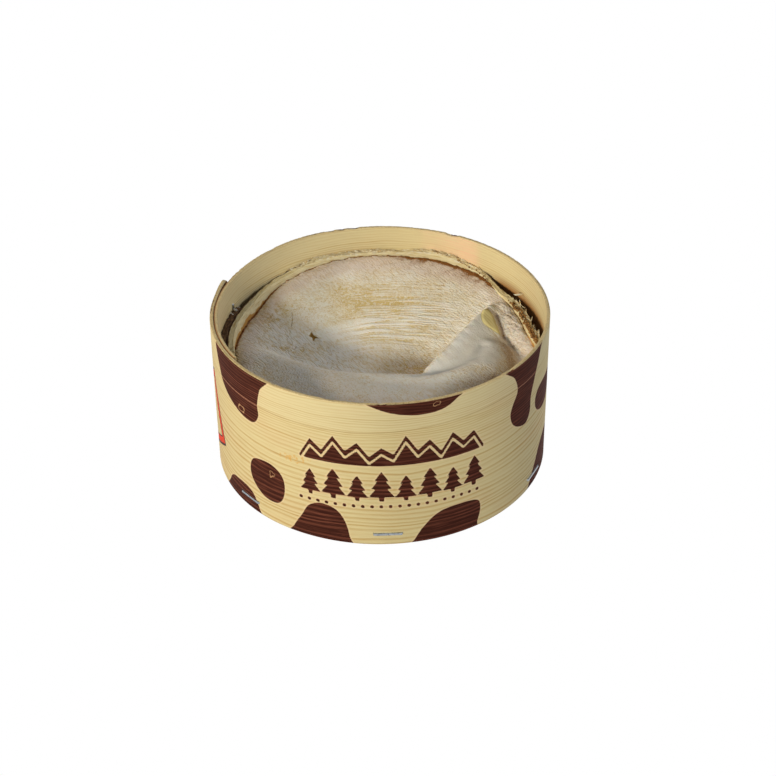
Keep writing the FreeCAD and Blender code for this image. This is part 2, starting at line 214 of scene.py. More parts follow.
def away_from(x, y, line):
    """Distance of each spot from a line of points."""
    nearest = np.full(x.shape, 1.0)
    for (ax, ay), (bx, by) in zip(line, line[1:]):
        run_x, run_y = bx - ax, by - ay
        share = ((x - ax) * run_x + (y - ay) * run_y) / (run_x ** 2 + run_y ** 2 + 1e-18)
        share = np.clip(share, 0, 1)
        nearest = np.minimum(nearest, np.hypot(x - ax - share * run_x, y - ay - share * run_y))
    return nearest


def inside_of(x, y, outline):
    """Whether each spot lies inside a closed outline."""
    inside = np.zeros(x.shape, bool)
    for (ax, ay), (bx, by) in zip(outline, np.roll(outline, -1, 0)):
        crossed = (ay > y) != (by > y)
        rise = by - ay if by != ay else 1.0
        inside ^= crossed & (x < ax + (y - ay) * (bx - ax) / rise)
    return inside


def add_area(distance, x, y, outline, margin=4 * MM):
    """Lowers a signed distance field to take in a closed outline."""
    outline = np.array(outline)
    low, high = outline.min(0) - margin, outline.max(0) + margin
    near = (x > low[0]) & (x < high[0]) & (y > low[1]) & (y < high[1])
    closed = np.vstack([outline, outline[:1]])
    away = away_from(x[near], y[near], closed)
    away[inside_of(x[near], y[near], outline)] *= -1
    distance[near] = np.minimum(distance[near], away)


def marked(x, y, outline):
    """Signed distance from the edge of one outline, negative inside."""
    distance = np.full(x.shape, 1.0)
    add_area(distance, x, y, outline, WHOLE_PLAN)
    return distance


def add_stroke(distance, x, y, line, half_width):
    distance[:] = np.minimum(distance, away_from(x, y, np.array(line)) - half_width)


# ---------------------------------------------------------------- settings

class HoopSettings(bpy.types.PropertyGroup):
    thickness: length("Thickness", "Thickness of the veneer", 1.4)
    groove_height: length("Groove height", "Height of the line that the lid's edge left", 50.3)
    ring_spacing: length("Ring spacing", "Distance between the wood's growth lines", 1.9)
    early_wood: colour("Early wood", "Pale wood between the growth lines", "D8C799")
    late_wood: colour("Late wood", "Growth lines", "B28A48")
    flushed_wood: colour("Flushed wood", "Pinkish clouds in the wood", "D6B88D")
    ink: colour("Ink", "Brown ink of the patches", "371811")
    worn_ink: colour("Worn ink", "Brown ink where it is thin", "8A5040")
    red_ink: colour("Red ink", "Red ink of the lozenge", "D8401F")


class GirdleSettings(bpy.types.PropertyGroup):
    thickness: length("Thickness", "Thickness of the bark strip", 2.5)
    bast: colour("Bast", "Cream inner bark", "DCCFA8")
    fibre: colour("Fibre", "Darker fibres in the inner bark", "BFA66E")
    bark: colour("Bark", "Dark outer bark", "402C1F")
    crust: colour("Crust", "Browned edges", "B88848")
    mould: colour("Mould", "White mould on the bark", "DDD3BA")


class CheeseSettings(bpy.types.PropertyGroup):
    wrinkle_spacing: length("Wrinkle spacing", "Distance between the bowl's wrinkles", 1.15)
    wrinkle_depth: length("Wrinkle depth", "Depth of the bowl's wrinkles", 0.055)
    fine_spacing: length("Fine spacing", "Distance between the finest wrinkles", 1.25)
    bloom: colour("Bloom", "White bloom on the wrinkles' crests", "FAF4E9")
    paste: colour("Paste", "Yellow skin in the wrinkles' valleys", "D8BC76")
    blush: colour("Blush", "Pinkish skin near the rim", "D8C1B5")
    # The grey bloom is also painted shade in the crease between the roll and the flap.
    mould: colour("Grey bloom", "Greyish bloom on the creases", "CCCAC4")
    # The down whitens the roll's crest, partly as its bloom and partly as painted light.
    down: colour("Down", "Thick white bloom on the lump by the tip", "FBF4E6")
    # The rind colour is also painted shade in the trench, the slit, the corner between roll and
    # flap and the roll's right end.
    rind: colour("Rind", "Brown rind where the skin meets the girdle", "8C5A28")
    wedge: colour("Torn tip", "Bare yellow paste at the torn tip", "EEDD9E")


class StageSettings(bpy.types.PropertyGroup):
    elevation: FloatProperty(
        name="Elevation", description="The camera's angle over the horizon",
        default=math.radians(33.94), subtype="ANGLE", unit="ROTATION")
    roll: FloatProperty(
        name="Roll", description="The camera's turn about its own axis",
        default=math.radians(-0.582), subtype="ANGLE", unit="ROTATION")
    distance: length("Distance", "From the camera to its target", 678.8)
    target_right: length("Target right", "The target's place right of the box's axis", 2.79)
    target_height: length("Target height", "The target's height", 25.94)
    lens: FloatProperty(
        name="Lens", description="Focal length in millimetres", default=80.0, min=1.0)


SETTINGS = {
    "vacherin_hoop": HoopSettings,
    "vacherin_girdle": GirdleSettings,
    "vacherin_cheese": CheeseSettings,
    "vacherin_stage": StageSettings,
}


# ---------------------------------------------------------------- the rolled strips

HOOP_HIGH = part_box("hoop")[1]
HOOP_HEIGHT = HOOP_HIGH.z
HALF_WIDE, HALF_DEEP = HOOP_HIGH.x, HOOP_HIGH.y
HOOP_RADIUS = (HALF_WIDE + HALF_DEEP) / 2
HOOP_OVAL = (HALF_DEEP - HALF_WIDE) / 2
HOOP_START, HOOP_END = 212.0, -202.0
LAP_GAP = 0.12 * MM
LAP_OPEN = 0.25 * MM
LAP_LIFT = 0.95 * MM
LAP_CORNER = 3.0 * MM
GIRDLE_START, GIRDLE_END = 192.0, -202.0
GIRDLE_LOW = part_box("bark_girdle")[0].z


def hoop_outside(turn):
    """Outer radius of the veneer strip."""
    thick = bpy.context.scene.vacherin_hoop.thickness
    radius = HOOP_RADIUS - HOOP_OVAL * np.cos(np.radians(2 * turn))
    radius = radius - (thick + LAP_GAP) * ramp(turn, 112, 150)
    radius -= (LAP_OPEN - LAP_GAP) * ramp(turn, 148, 164) * (1 - ramp(turn, 186, 200))
    return radius + LAP_LIFT * (1 - ramp(turn, HOOP_END, HOOP_END + 14))


def hoop_inside(turn):
    return hoop_outside(turn) - bpy.context.scene.vacherin_hoop.thickness


def girdle_outside(turn):
    """Outer radius of the bark strip, which leans on the hoop except at the right."""
    place = HOOP_START - (HOOP_START - turn) % 360
    low = HOOP_START - 360
    step = hoop_inside(low) - hoop_inside(HOOP_START)
    room = hoop_inside(place) - step * (1 - ramp(place, low, low + 12)) - LAP_GAP
    slack = 3.7 * MM * ramp(turn, -11, 8) * (1 - ramp(turn, 32, 50))
    thick = bpy.context.scene.vacherin_girdle.thickness
    return room - slack - (thick + 2 * LAP_GAP) * ramp(turn, 128, 156)


def girdle_top(turn):
    """Height of the bark strip's upper edge."""
    place = 270 - (270 - turn) % 360
    rise = 2.2 * ramp(place, 38, 58) * (1 - ramp(place, 112, 130))
    peak = 1.9 * ramp(place, 52, 66) * (1 - ramp(place, 70, 84))
    return HOOP_HEIGHT - 12.6 * MM + (rise + peak) * MM


# ---------------------------------------------------------------- the hoop's print

# Outlines of the cow-hide patches: degrees to the right of the front, and millimetres up.
FRONT_PATCHES = (
    ((-39, 66), (-42, 58), (-43.5, 51), (-43.4, 45.6), (-46.4, 41.6), (-53, 42),
     (-61.6, 45.8), (-66.6, 52), (-68, 66)),
    ((-46.5, 25.3), (-48.9, 20), (-47.6, 14.3), (-42.3, 9.8), (-36.2, 10.1),
     (-33.5, 15.6), (-34, 23), (-39, 26.7)),
    ((-67, -4), (-64, 4), (-61, 8), (-56.5, 9.2), (-51.6, 9.3), (-48, 7.5),
     (-45.1, 1.6), (-44, -4)),
    ((-32, -4), (-30, 3), (-27, 9), (-24.3, 14.4), (-19.9, 16.6), (-15, 15), (-12, 10),
     (-10.5, 3), (-10.2, -4)),
    ((10, -4), (11.3, 2.5), (15.4, 9.1), (19.5, 12.5), (25, 13.6), (30.5, 13.2),
     (33.8, 11.5), (34.4, 7), (33.3, 2), (32, -4)),
    ((-9, 66), (-3.6, 62.2), (3.7, 58.8), (12, 57.3), (20, 58.2), (25, 61.6), (29, 66)),
    ((43, 66), (48.5, 58.5), (50.4, 52), (48.1, 47), (47, 43), (48.4, 38.2), (52, 35),
     (56.5, 34), (59, 37.5), (59.4, 44), (61.5, 50), (66, 60), (67.5, 66)),
    ((77, 43.4), (67.2, 43.8), (63.4, 41), (63.4, 36.5), (66.5, 32.8), (72, 31), (80, 32),
     (84, 37), (83, 41.5)),
    ((61, -4), (61.1, 2.3), (65.9, 9.7), (70, 14.5), (77, 16.8), (84, 14), (90, 7),
     (92, -4)),
)
# More patches round the back: middle, half width in degrees and half height.
BACK_PATCHES = (
    (98, 62, 11, 15), (112, 27, 8, 9), (133, 2, 13, 13), (146, 60, 9, 10),
    (163, 33, 10, 9), (181, 1, 10, 9), (196, 61, 14, 12), (207, 24, 8, 12),
    (231, 0, 13, 15), (240, 52, 9, 9), (-98, 62, 9, 11), (-93, 2, 12, 12),
)


def back_patch(middle, height, half_wide, half_high, seed):
    """Outline of a patch: an oval whose radius swells and narrows as it goes round."""
    swell = np.random.default_rng(seed).uniform(0.78, 1.18, 9)
    turns = np.arange(9) * 2 * math.pi / 9
    return [(middle + half_wide * s * math.cos(t), height + half_high * s * math.sin(t))
            for s, t in zip(swell, turns)]


def on_strip(points):
    """Degrees from the front and millimetres up, as metres along and up the strip."""
    return [(math.radians(a) * HOOP_RADIUS, z * MM) for a, z in points]


def fir(middle, foot, tall):
    """Outline of a fir tree in three tiers, as metres on the strip."""
    half = [(0.07, 0), (0.07, 0.14), (0.36, 0.14), (0.15, 0.42), (0.28, 0.42), (0.11, 0.68),
            (0.2, 0.68), (0, 1)]
    right = [(middle + x * tall, foot + y * tall) for x, y in half]
    return right + [(2 * middle - x, y) for x, y in reversed(right[:-1])]


def brown_print(along, height):
    """Signed distance from the brown ink's edge, negative under the ink."""
    distance = np.full(along.shape, 4 * MM)
    for outline in FRONT_PATCHES:
        add_area(distance, along, height, on_strip(smooth_outline(outline)))
    for seed, patch in enumerate(BACK_PATCHES):
        outline = smooth_outline(back_patch(*patch, seed))
        add_area(distance, along, height, on_strip(outline))
    first, last = (math.radians(a) * HOOP_RADIUS for a in (-27, 35))
    near = (along > first - 3 * MM) & (along < last + 3 * MM)
    near &= (height > 15 * MM) & (height < 50 * MM)
    x, y, ink = along[near], height[near], distance[near]
    peaks = np.linspace(first, last, 17)
    rises = np.array([0, 8, 4, 11, 5, 9, 3, 7, 4, 12, 5, 9, 3, 10, 5, 8, 0]) * MM
    ridge = np.stack([peaks, 37 * MM + rises], 1)
    add_area(ink, x, y, np.vstack([ridge, [(last, 36 * MM), (first, 36 * MM)]]))
    ink[:] = np.maximum(ink, 0.45 * MM - away_from(x, y, ridge - (0, 3 * MM)))
    for number, middle in enumerate(np.linspace(first + 4 * MM, last - 4 * MM, 8)):
        add_area(ink, x, y, fir(middle, 20 * MM, (13.5 if number % 2 else 11.5) * MM))
    for middle in np.arange(first, last, 3.4 * MM):
        add_stroke(ink, x, y, [(middle, 17.6 * MM), (middle + 0.01 * MM, 17.6 * MM)], 0.75 * MM)
    distance[near] = ink
    return distance


def red_print(along, height):
    """Signed distance from the edge of the red lozenge at the left."""
    distance = np.full(along.shape, 4 * MM)
    corners = on_strip([(-77, 46), (-66.5, 17), (-88, 5), (-98.5, 34)])
    add_area(distance, along, height, corners)
    return distance


# Knocks in the ink: degrees to the right of the front, metres up and metres across.
SCUFFS = ((-52, 44.6 * MM, 1.9 * MM), (-38.6, 22.4 * MM, 1.7 * MM), (18, 60.8 * MM, 1.6 * MM))


# ---------------------------------------------------------------- materials

def new_material(name):
    """An empty material, and a function that adds nodes to it.

    That function sets a node, and fills or links its inputs by name or number.
    """
    material = bpy.data.materials.new(name)
    material.use_nodes = True
    material.node_tree.nodes.clear()
    return material, functools.partial(add_node, material.node_tree)


def add_node(tree, kind, inputs=None, **settings):
    """Adds a shader node and returns its outputs."""
    node = tree.nodes.new("ShaderNode" + kind)
    for name, value in settings.items():
        setattr(node, name, value)
    for key, value in (inputs or {}).items():
        if isinstance(value, bpy.types.NodeSocket):
            tree.links.new(value, node.inputs[key])
        else:
            node.inputs[key].default_value = value
    return node.outputs


def grain_noise(node, place, scale, **settings):
    """Noise drawn out along the grain by a scale for each direction."""
    way = node("Mapping", {"Vector": place, "Scale": scale})[0]
    return node("TexNoise", {"Vector": way, "Scale": 1.0, **settings})[0]


def spruce_veneer():
    """Peeled spruce veneer, printed: thin wavy growth lines, dull, slightly fuzzy."""
    look = bpy.context.scene.vacherin_hoop
    material, node = new_material("spruce_veneer_printed")
    strip = node("Attribute", attribute_name="strip")["Vector"]
    printed = node("Attribute", attribute_name="print")["Vector"]
    spots = node("SeparateXYZ", {0: strip})
    marks = node("SeparateXYZ", {0: printed})
    outside = node("Math", {0: spots["Z"], 1: 0.3 * MM}, operation="LESS_THAN")[0]
    # Growth lines wander slowly along the strip and are unevenly spaced and strong.
    wander = grain_noise(node, strip, (16, 45, 400), Detail=3.0)
    level = node("Math", {0: wander, 1: 6 * MM, 2: spots["Y"]}, operation="MULTIPLY_ADD")[0]
    uneven = node("TexNoise", {"W": level, "Scale": 110.0, "Detail": 1.0},
                  noise_dimensions="1D")[0]
    level = node("Math", {0: uneven, 1: 3.4 * MM, 2: level}, operation="MULTIPLY_ADD")[0]
    # They are closer together near the rim.
    rings = node("Math", {0: level, 1: 1 / look.ring_spacing}, operation="MULTIPLY")[0]
    crowd = node("MapRange", {0: level, 1: 46 * MM, 2: 70 * MM, 4: 9.0})[0]
    rings = node("Math", {0: rings, 1: crowd}, operation="ADD")[0]
    ring = node("Math", {0: rings}, operation="FRACT")[0]
    year = node("Math", {0: rings}, operation="FLOOR")[0]
    year = node("TexWhiteNoise", {"W": year}, noise_dimensions="1D")["Value"]
    rise = node("MapRange", {0: ring, 1: 0.3, 2: 0.75}, interpolation_type="SMOOTHSTEP")[0]
    fall = node("MapRange", {0: ring, 1: 0.75, 2: 1.0}, interpolation_type="SMOOTHSTEP")[0]
    late = node("Math", {0: rise, 1: fall}, operation="SUBTRACT")[0]
    cloud = grain_noise(node, strip, (28, 60, 200), Detail=3.0)
    strength = node("MapRange", {0: year, 3: 0.15, 4: 0.85})[0]
    strength = node("Math", {0: strength, 1: cloud}, operation="MULTIPLY")[0]
    strength = node("Math", {0: strength, 1: 1.75}, operation="MULTIPLY")[0]
    late = node("Math", {0: late, 1: strength}, operation="MULTIPLY")[0]
    # Fibres are long and hair-thin.
    fibre = grain_noise(node, strip, (110, 2600, 2600), Detail=3.0)
    hair = node("MapRange", {0: fibre, 1: 0.45, 2: 0.8, 3: 0.0, 4: 0.3})[0]
    lines = node("Math", {0: late, 1: hair}, operation="ADD", use_clamp=True)[0]
    wood = node("Mix", {0: lines, 6: look.early_wood, 7: look.late_wood}, data_type="RGBA")[2]
    flush = node("MapRange", {0: cloud, 1: 0.5, 2: 0.8, 3: 0.0, 4: 0.5})[0]
    wood = node("Mix", {0: flush, 6: wood, 7: look.flushed_wood}, data_type="RGBA")[2]
    # The lid left a thin groove, which rises to the right, and paler wood above it.
    lid_line = node("MapRange", {0: spots["X"], 1: -15 * MM, 2: 50 * MM, 4: 2.6 * MM},
                    interpolation_type="SMOOTHSTEP")[0]
    lid = node("Math", {0: spots["Y"], 1: lid_line}, operation="SUBTRACT")[0]
    above = node("MapRange", {0: lid, 1: look.groove_height, 2: look.groove_height + MM,
                              4: 0.22})[0]
    wood = node("Mix", {0: above, 6: wood, 7: linear("E2D6B0")}, data_type="RGBA")[2]
    groove = node("Math", {0: lid, 1: look.groove_height, 2: 0.17 * MM}, operation="COMPARE")[0]
    groove = node("Math", {0: groove, 1: outside}, operation="MULTIPLY")[0]
    shade = node("Math", {0: groove, 1: cloud}, operation="MULTIPLY")[0]
    wood = node("Mix", {0: shade, 6: wood, 7: linear("A8875A")}, data_type="RGBA")[2]
    # Sap is pinkish orange; the lap's inner layer is browned, and the wall in the girdle's gap is
    # browned as painted shade.
    sap = node("Math", {0: marks["Z"], 1: 0.0}, operation="MAXIMUM")[0]
    faint = node("Math", {0: sap, 1: 0.5}, operation="MULTIPLY")[0]
    sap = node("Math", {0: lines, 1: sap, 2: faint}, operation="MULTIPLY_ADD", use_clamp=True)[0]
    wood = node("Mix", {0: sap, 6: wood, 7: linear("FFC6AE")}, data_type="RGBA")[2]
    browned = node("Math", {0: marks["Z"], 1: -1.0}, operation="MULTIPLY", use_clamp=True)[0]
    wood = node("Mix", {0: browned, 6: wood, 7: linear("9C5F22")}, data_type="RGBA")[2]
    # A small ochre stain, ragged along the grain, beside the ornament.
    from_stain = node("Mapping", {"Vector": strip, "Location": (3.9, -15.2, 0),
                                  "Scale": (115, 450, 0)})[0]
    reach = node("VectorMath", {0: from_stain}, operation="LENGTH")["Value"]
    cracked = node("TexNoise", {"Vector": strip, "Scale": 700.0, "Detail": 2.0})[0]
    reach = node("Math", {0: cracked, 1: 3.2, 2: reach}, operation="MULTIPLY_ADD")[0]
    stain = node("MapRange", {0: reach, 1: 2.1, 2: 1.8, 4: 0.6})[0]
    stain = node("Math", {0: stain, 1: outside}, operation="MULTIPLY")[0]
    wood = node("Mix", {0: stain, 6: wood, 7: linear("D29A3C")}, data_type="RGBA")[2]
    # Ink bleeds a little along the fibres and has a pale pinkish edge.
    bleed = node("Math", {0: fibre, 1: 0.5}, operation="SUBTRACT")[0]
    edge = node("Math", {0: bleed, 1: 0.4 * MM, 2: marks["X"]}, operation="MULTIPLY_ADD")[0]
    ink = node("MapRange", {0: edge, 1: 0.1 * MM, 2: -0.1 * MM})[0]
    halo = node("MapRange", {0: edge, 1: 0.8 * MM, 2: 0.15 * MM, 4: 0.55})[0]
    wood = node("Mix", {0: halo, 6: wood, 7: linear("E6C8A0")}, data_type="RGBA")[2]
    thin = node("MapRange", {0: fibre, 1: 0.5, 2: 0.75, 4: 0.38})[0]
    thin = node("Math", {0: late, 1: 0.65, 2: thin}, operation="MULTIPLY_ADD", use_clamp=True)[0]
    brown = node("Mix", {0: thin, 6: look.ink, 7: look.worn_ink}, data_type="RGBA")[2]
    creased = node("Math", {0: groove, 1: 0.6}, operation="MULTIPLY")[0]
    brown = node("Mix", {0: creased, 6: brown, 7: linear("C58E74")}, data_type="RGBA")[2]
    # Knocks have worn small broken rings into the ink.
    shaky = node("TexNoise", {"Vector": strip, "Scale": 420.0, "Detail": 2.0})[0]
    for place, height, size in SCUFFS:
        middle = math.radians(place) * HOOP_RADIUS
        offset = node("Mapping", {"Vector": strip, "Location": (-middle / size, -height / size, 0),
                                  "Scale": (1 / size, 1 / size, 0)})[0]
        reach = node("VectorMath", {0: offset}, operation="LENGTH")["Value"]
        reach = node("Math", {0: shaky, 1: 2.2, 2: reach}, operation="MULTIPLY_ADD")[0]
        worn = node("Math", {0: reach, 1: 1.75, 2: 0.13}, operation="COMPARE")[0]
        worn = node("Math", {0: worn, 1: cloud}, operation="MULTIPLY")[0]
        brown = node("Mix", {0: worn, 6: brown, 7: linear("E0B083")}, data_type="RGBA")[2]
    red_edge = node("Math", {0: bleed, 1: 0.5 * MM, 2: marks["Y"]}, operation="MULTIPLY_ADD")[0]
    red = node("MapRange", {0: red_edge, 1: 0.1 * MM, 2: -0.1 * MM})[0]
    bare = node("MapRange", {0: red_edge, 1: -4.1 * MM, 2: -3.9 * MM})[0]
    red = node("Math", {0: red, 1: bare}, operation="MULTIPLY")[0]
    band = node("Math", {0: red_edge, 1: -2.2 * MM, 2: 1.2 * MM}, operation="COMPARE")[0]
    lozenge = node("Mix", {0: band, 6: look.ink, 7: look.red_ink}, data_type="RGBA")[2]
    finish = node("Mix", {0: ink, 6: wood, 7: brown}, data_type="RGBA")[2]
    finish = node("Mix", {0: red, 6: finish, 7: lozenge}, data_type="RGBA")[2]
    # The sawn edges are rough and hatched across.
    hatch = grain_noise(node, strip, (1500, 300, 900), Detail=2.0)
    cut = node("MapRange", {0: spots["Y"], 1: HOOP_HEIGHT - 0.5 * MM,
                            2: HOOP_HEIGHT - 0.25 * MM, 4: 0.85})[0]
    sawn = node("Mix", {0: hatch, 6: linear("B59660"), 7: linear("F6E2B0")}, data_type="RGBA")[2]
    sawn = node("Mix", {0: browned, 6: sawn, 7: linear("8A4E1C")}, data_type="RGBA")[2]
    finish = node("Mix", {0: cut, 6: finish, 7: sawn}, data_type="RGBA")[2]
    relief = node("Math", {0: lines, 1: -0.5, 2: fibre}, operation="MULTIPLY_ADD")[0]
    relief = node("Math", {0: groove, 1: -1.2, 2: relief}, operation="MULTIPLY_ADD")[0]
    bump = node("Bump", {"Height": relief, "Strength": 0.3, "Distance": 0.07 * MM})[0]
    shine = node("MapRange", {0: ink, 3: 0.28, 4: 0.06})[0]
    shader = node("BsdfPrincipled", {
        "Base Color": finish, "Roughness": 0.72, "Specular IOR Level": shine,
        "Normal": bump})[0]
    node("OutputMaterial", {0: shader})
    return material


def spruce_board():
    """Sawn spruce board, unplaned: pale, with straight rings and a fuzzy grain."""
    material, node = new_material("spruce_board_sawn")
    place = node("TexCoord")["Object"]
    grain = grain_noise(node, place, (18, 420, 420), Detail=3.0)
    fibre = grain_noise(node, place, (150, 2400, 2400), Detail=2.0)
    ring = node("MapRange", {0: grain, 1: 0.4, 2: 0.62})[0]
    lines = node("Math", {0: fibre, 1: 0.3, 2: ring}, operation="MULTIPLY_ADD", use_clamp=True)[0]
    wood = node("Mix", {0: lines, 6: linear("E0CB99"), 7: linear("BF9C60")}, data_type="RGBA")[2]
    bump = node("Bump", {"Height": fibre, "Strength": 0.4, "Distance": 0.1 * MM})[0]
    shader = node("BsdfPrincipled", {
        "Base Color": wood, "Roughness": 0.8, "Specular IOR Level": 0.25, "Normal": bump})[0]
    node("OutputMaterial", {0: shader})
    return material


def staple_steel():
    """Galvanised steel wire: bright, slightly uneven grey, brushed by the tool."""
    material, node = new_material("galvanised_steel_wire")
    place = node("TexCoord")["Object"]
    spangle = node("TexNoise", {"Vector": place, "Scale": 900.0, "Detail": 2.0})[0]
    zinc = node("Mix", {0: spangle, 6: linear("70767E"), 7: linear("B8BCC0")},
                data_type="RGBA")[2]
    rough = node("MapRange", {0: spangle, 1: 0.3, 2: 0.7, 3: 0.25, 4: 0.45})[0]
    shader = node("BsdfPrincipled", {
        "Base Color": zinc, "Metallic": 1.0, "Roughness": rough})[0]
    node("OutputMaterial", {0: shader})
    return material


def spruce_bark():
    """Spruce bark strip: dark flaky bark outside, cream fibrous bast inside."""
    look = bpy.context.scene.vacherin_girdle
    material, node = new_material("spruce_bark_strip")
    strip = node("Attribute", attribute_name="strip")["Vector"]
    layer = node("Attribute", attribute_name="layer")["Vector"]
    marks = node("SeparateXYZ", {0: layer})
    fibre = grain_noise(node, strip, (160, 1900, 1900), Detail=4.0)
    flake = grain_noise(node, strip, (500, 900, 900), Detail=4.0, Roughness=0.65)
    fibrous = node("MapRange", {0: fibre, 1: 0.45, 2: 0.75})[0]
    finish = node("Mix", {0: fibrous, 6: look.bast, 7: look.fibre}, data_type="RGBA")[2]
    crumbly = node("MapRange", {0: flake, 1: 0.4, 2: 0.65})[0]
    bark = node("Mix", {0: crumbly, 6: look.bark, 7: linear("765A3E")}, data_type="RGBA")[2]
    uneven = node("Math", {0: flake, 1: 0.5}, operation="SUBTRACT")[0]
    # Bark, browned edges and mould each cover the layer below in ragged patches.
    for mark, roughness, coat in (("X", 0.8, bark), ("Y", 0.9, look.crust),
                                  ("Z", 1.8, look.mould)):
        share = node("Math", {0: uneven, 1: roughness, 2: marks[mark]},
                     operation="MULTIPLY_ADD")[0]
        share = node("MapRange", {0: share, 1: 0.4, 2: 0.62})[0]
        finish = node("Mix", {0: share, 6: finish, 7: coat}, data_type="RGBA")[2]
    relief = node("Math", {0: fibre, 1: flake}, operation="ADD")[0]
    bump = node("Bump", {"Height": relief, "Strength": 0.5, "Distance": 0.2 * MM})[0]
    shader = node("BsdfPrincipled", {
        "Base Color": finish, "Roughness": 0.9, "Specular IOR Level": 0.2, "Normal": bump})[0]
    node("OutputMaterial", {0: shader})
    return material


def self_crossing(node, way, scale, reach):
    """Broken crease lines: 0 along the lines where a noise crosses its middle, else 1."""
    waves = node("TexNoise", {"Vector": way, "Scale": scale, "Detail": 1.5,
                              "Distortion": 0.4})[0]
    waves = node("Math", {0: waves, 1: 0.5}, operation="SUBTRACT")[0]
    waves = node("Math", {0: waves}, operation="ABSOLUTE")[0]
    return node("MapRange", {0: waves, 1: 0.0, 2: reach})[0]


def cheese_skin():
    """Washed rind under a white bloom: matt, waxy below, ochre in the wrinkles."""
    look = bpy.context.scene.vacherin_cheese
    material, node = new_material("washed_rind_with_bloom")
    place = node("TexCoord")["Object"]
    skin = node("SeparateXYZ", {0: node("Attribute", attribute_name="skin")["Vector"]})
    marks = node("SeparateXYZ", {0: node("Attribute", attribute_name="marks")["Vector"]})
    grain = node("Attribute", attribute_name="grain")["Vector"]
    ways = node("SeparateXYZ", {0: grain})
    grit = node("TexNoise", {"Vector": place, "Scale": 1900.0, "Detail": 3.0,
                             "Roughness": 0.6})[0]
    patchy = node("TexNoise", {"Vector": place, "Scale": 120.0, "Detail": 5.0,
                               "Roughness": 0.6})[0]
    # Fine wrinkles: broken streaks at a slant, rings at the back, and a maze elsewhere.
    fine, pace = look.fine_spacing, 1 / look.fine_spacing
    slant = node("Mapping", {
        "Vector": place, "Rotation": (0, 0, math.radians(-50)), "Scale": (4 * fine, fine, 1)},
        vector_type="TEXTURE")[0]
    sides = node("SeparateXYZ", {0: place})
    around = node("CombineXYZ", {0: sides["X"], 1: ways["X"], 2: 0.0})[0]
    around = node("Mapping", {"Vector": around, "Scale": (pace * 0.04, pace * 0.62, 1)})[0]
    ringed = node("Math", {0: ways["Y"], 1: 0.0}, operation="MAXIMUM")[0]
    streaks, rings, maze = (
        self_crossing(node, way, scale, reach)
        for way, scale, reach in ((slant, 1.0, 0.07), (around, 1.0, 0.1), (place, pace, 0.06)))
    streaks = node("Mix", {0: ringed, 2: streaks, 3: rings})[0]
    fine = node("Mix", {0: ways["Z"], 2: streaks, 3: maze})[0]
    calm = node("Math", {0: ways["Y"], 1: -1.0}, operation="MULTIPLY", use_clamp=True)[0]
    fine = node("Mix", {0: calm, 2: fine, 3: 0.9})[0]
    # Ochre gathers in the valleys, in patches.
    spread = node("MapRange", {0: patchy, 1: 0.3, 2: 0.7, 3: -0.2, 4: 0.2})[0]
    depth = node("Math", {0: skin["X"], 1: -0.12, 2: spread}, operation="MULTIPLY_ADD")[0]
    depth = node("Math", {0: depth, 1: skin["Y"]}, operation="ADD")[0]
    depth = node("Math", {0: fine, 1: -1.0, 2: depth}, operation="MULTIPLY_ADD")[0]
    speckle = node("Math", {0: grit, 1: 0.5}, operation="SUBTRACT")[0]
    depth = node("Math", {0: speckle, 1: 1.3, 2: depth}, operation="MULTIPLY_ADD")[0]
    yellow = node("MapRange", {0: depth, 1: -0.75, 2: 0.6})[0]
    base = node("Mix", {0: yellow, 6: look.bloom, 7: look.paste}, data_type="RGBA")[2]
    curds = node("TexNoise", {"Vector": place, "Scale": 850.0, "Detail": 2.0})[0]
    curds = node("MapRange", {0: curds, 1: 0.52, 2: 0.6, 4: 0.5})[0]
    pink = node("Math", {0: skin["Z"], 1: patchy}, operation="MULTIPLY", use_clamp=True)[0]
    pink = node("Math", {0: pink, 1: 0.65}, operation="MINIMUM")[0]
    # The rind colour browns the rim's edge and the stains, and is painted shade in the trench, the
    # slit, the corner and the roll's right end.
    brown = node("Math", {0: speckle, 1: 1.2, 2: marks["Y"]}, operation="MULTIPLY_ADD")[0]
    brown = node("MapRange", {0: brown, 1: 0.15, 2: 0.85})[0]
    # The grey bloom is partly painted shade in the roll's crease, and the down is partly painted
    # light on the roll's crest.
    grey = node("Math", {0: marks["Z"], 1: 0.0}, operation="MAXIMUM")[0]
    white = node("Math", {0: marks["Z"], 1: -1.0}, operation="MULTIPLY", use_clamp=True)[0]
    bare = node("MapRange", {0: marks["X"], 1: 0.15 * MM, 2: -0.15 * MM})[0]
    # Painted shade: the paste in the star hole and its cracks is much darker than at the torn tip.
    hole = node("Math", {0: sides["X"], 1: 0.0}, operation="LESS_THAN")[0]
    paste = node("Mix", {0: hole, 6: look.wedge, 7: linear("9A7434")}, data_type="RGBA")[2]
    # Each covers the one before it.
    for share, coat in ((curds, linear("F5F0E4")), (pink, look.blush), (brown, look.rind),
                        (grey, look.mould), (white, look.down), (bare, paste)):
        base = node("Mix", {0: share, 6: base, 7: coat}, data_type="RGBA")[2]
    relief = node("Math", {0: grit, 1: 0.8, 2: fine}, operation="MULTIPLY_ADD")[0]
    smooth = node("Math", {0: 1.0, 1: bare}, operation="SUBTRACT")[0]
    relief = node("Math", {0: relief, 1: smooth}, operation="MULTIPLY")[0]
    bump = node("Bump", {"Height": relief, "Strength": 0.7, "Distance": 0.2 * MM})[0]
    shader = node("BsdfPrincipled", {
        "Base Color": base, "Roughness": 0.75, "Specular IOR Level": 0.25, "Normal": bump,
        "Subsurface Weight": 0.12, "Subsurface Radius": (1.0, 0.6, 0.3),
        "Subsurface Scale": 1.0 * MM})[0]
    node("OutputMaterial", {0: shader})
    return material


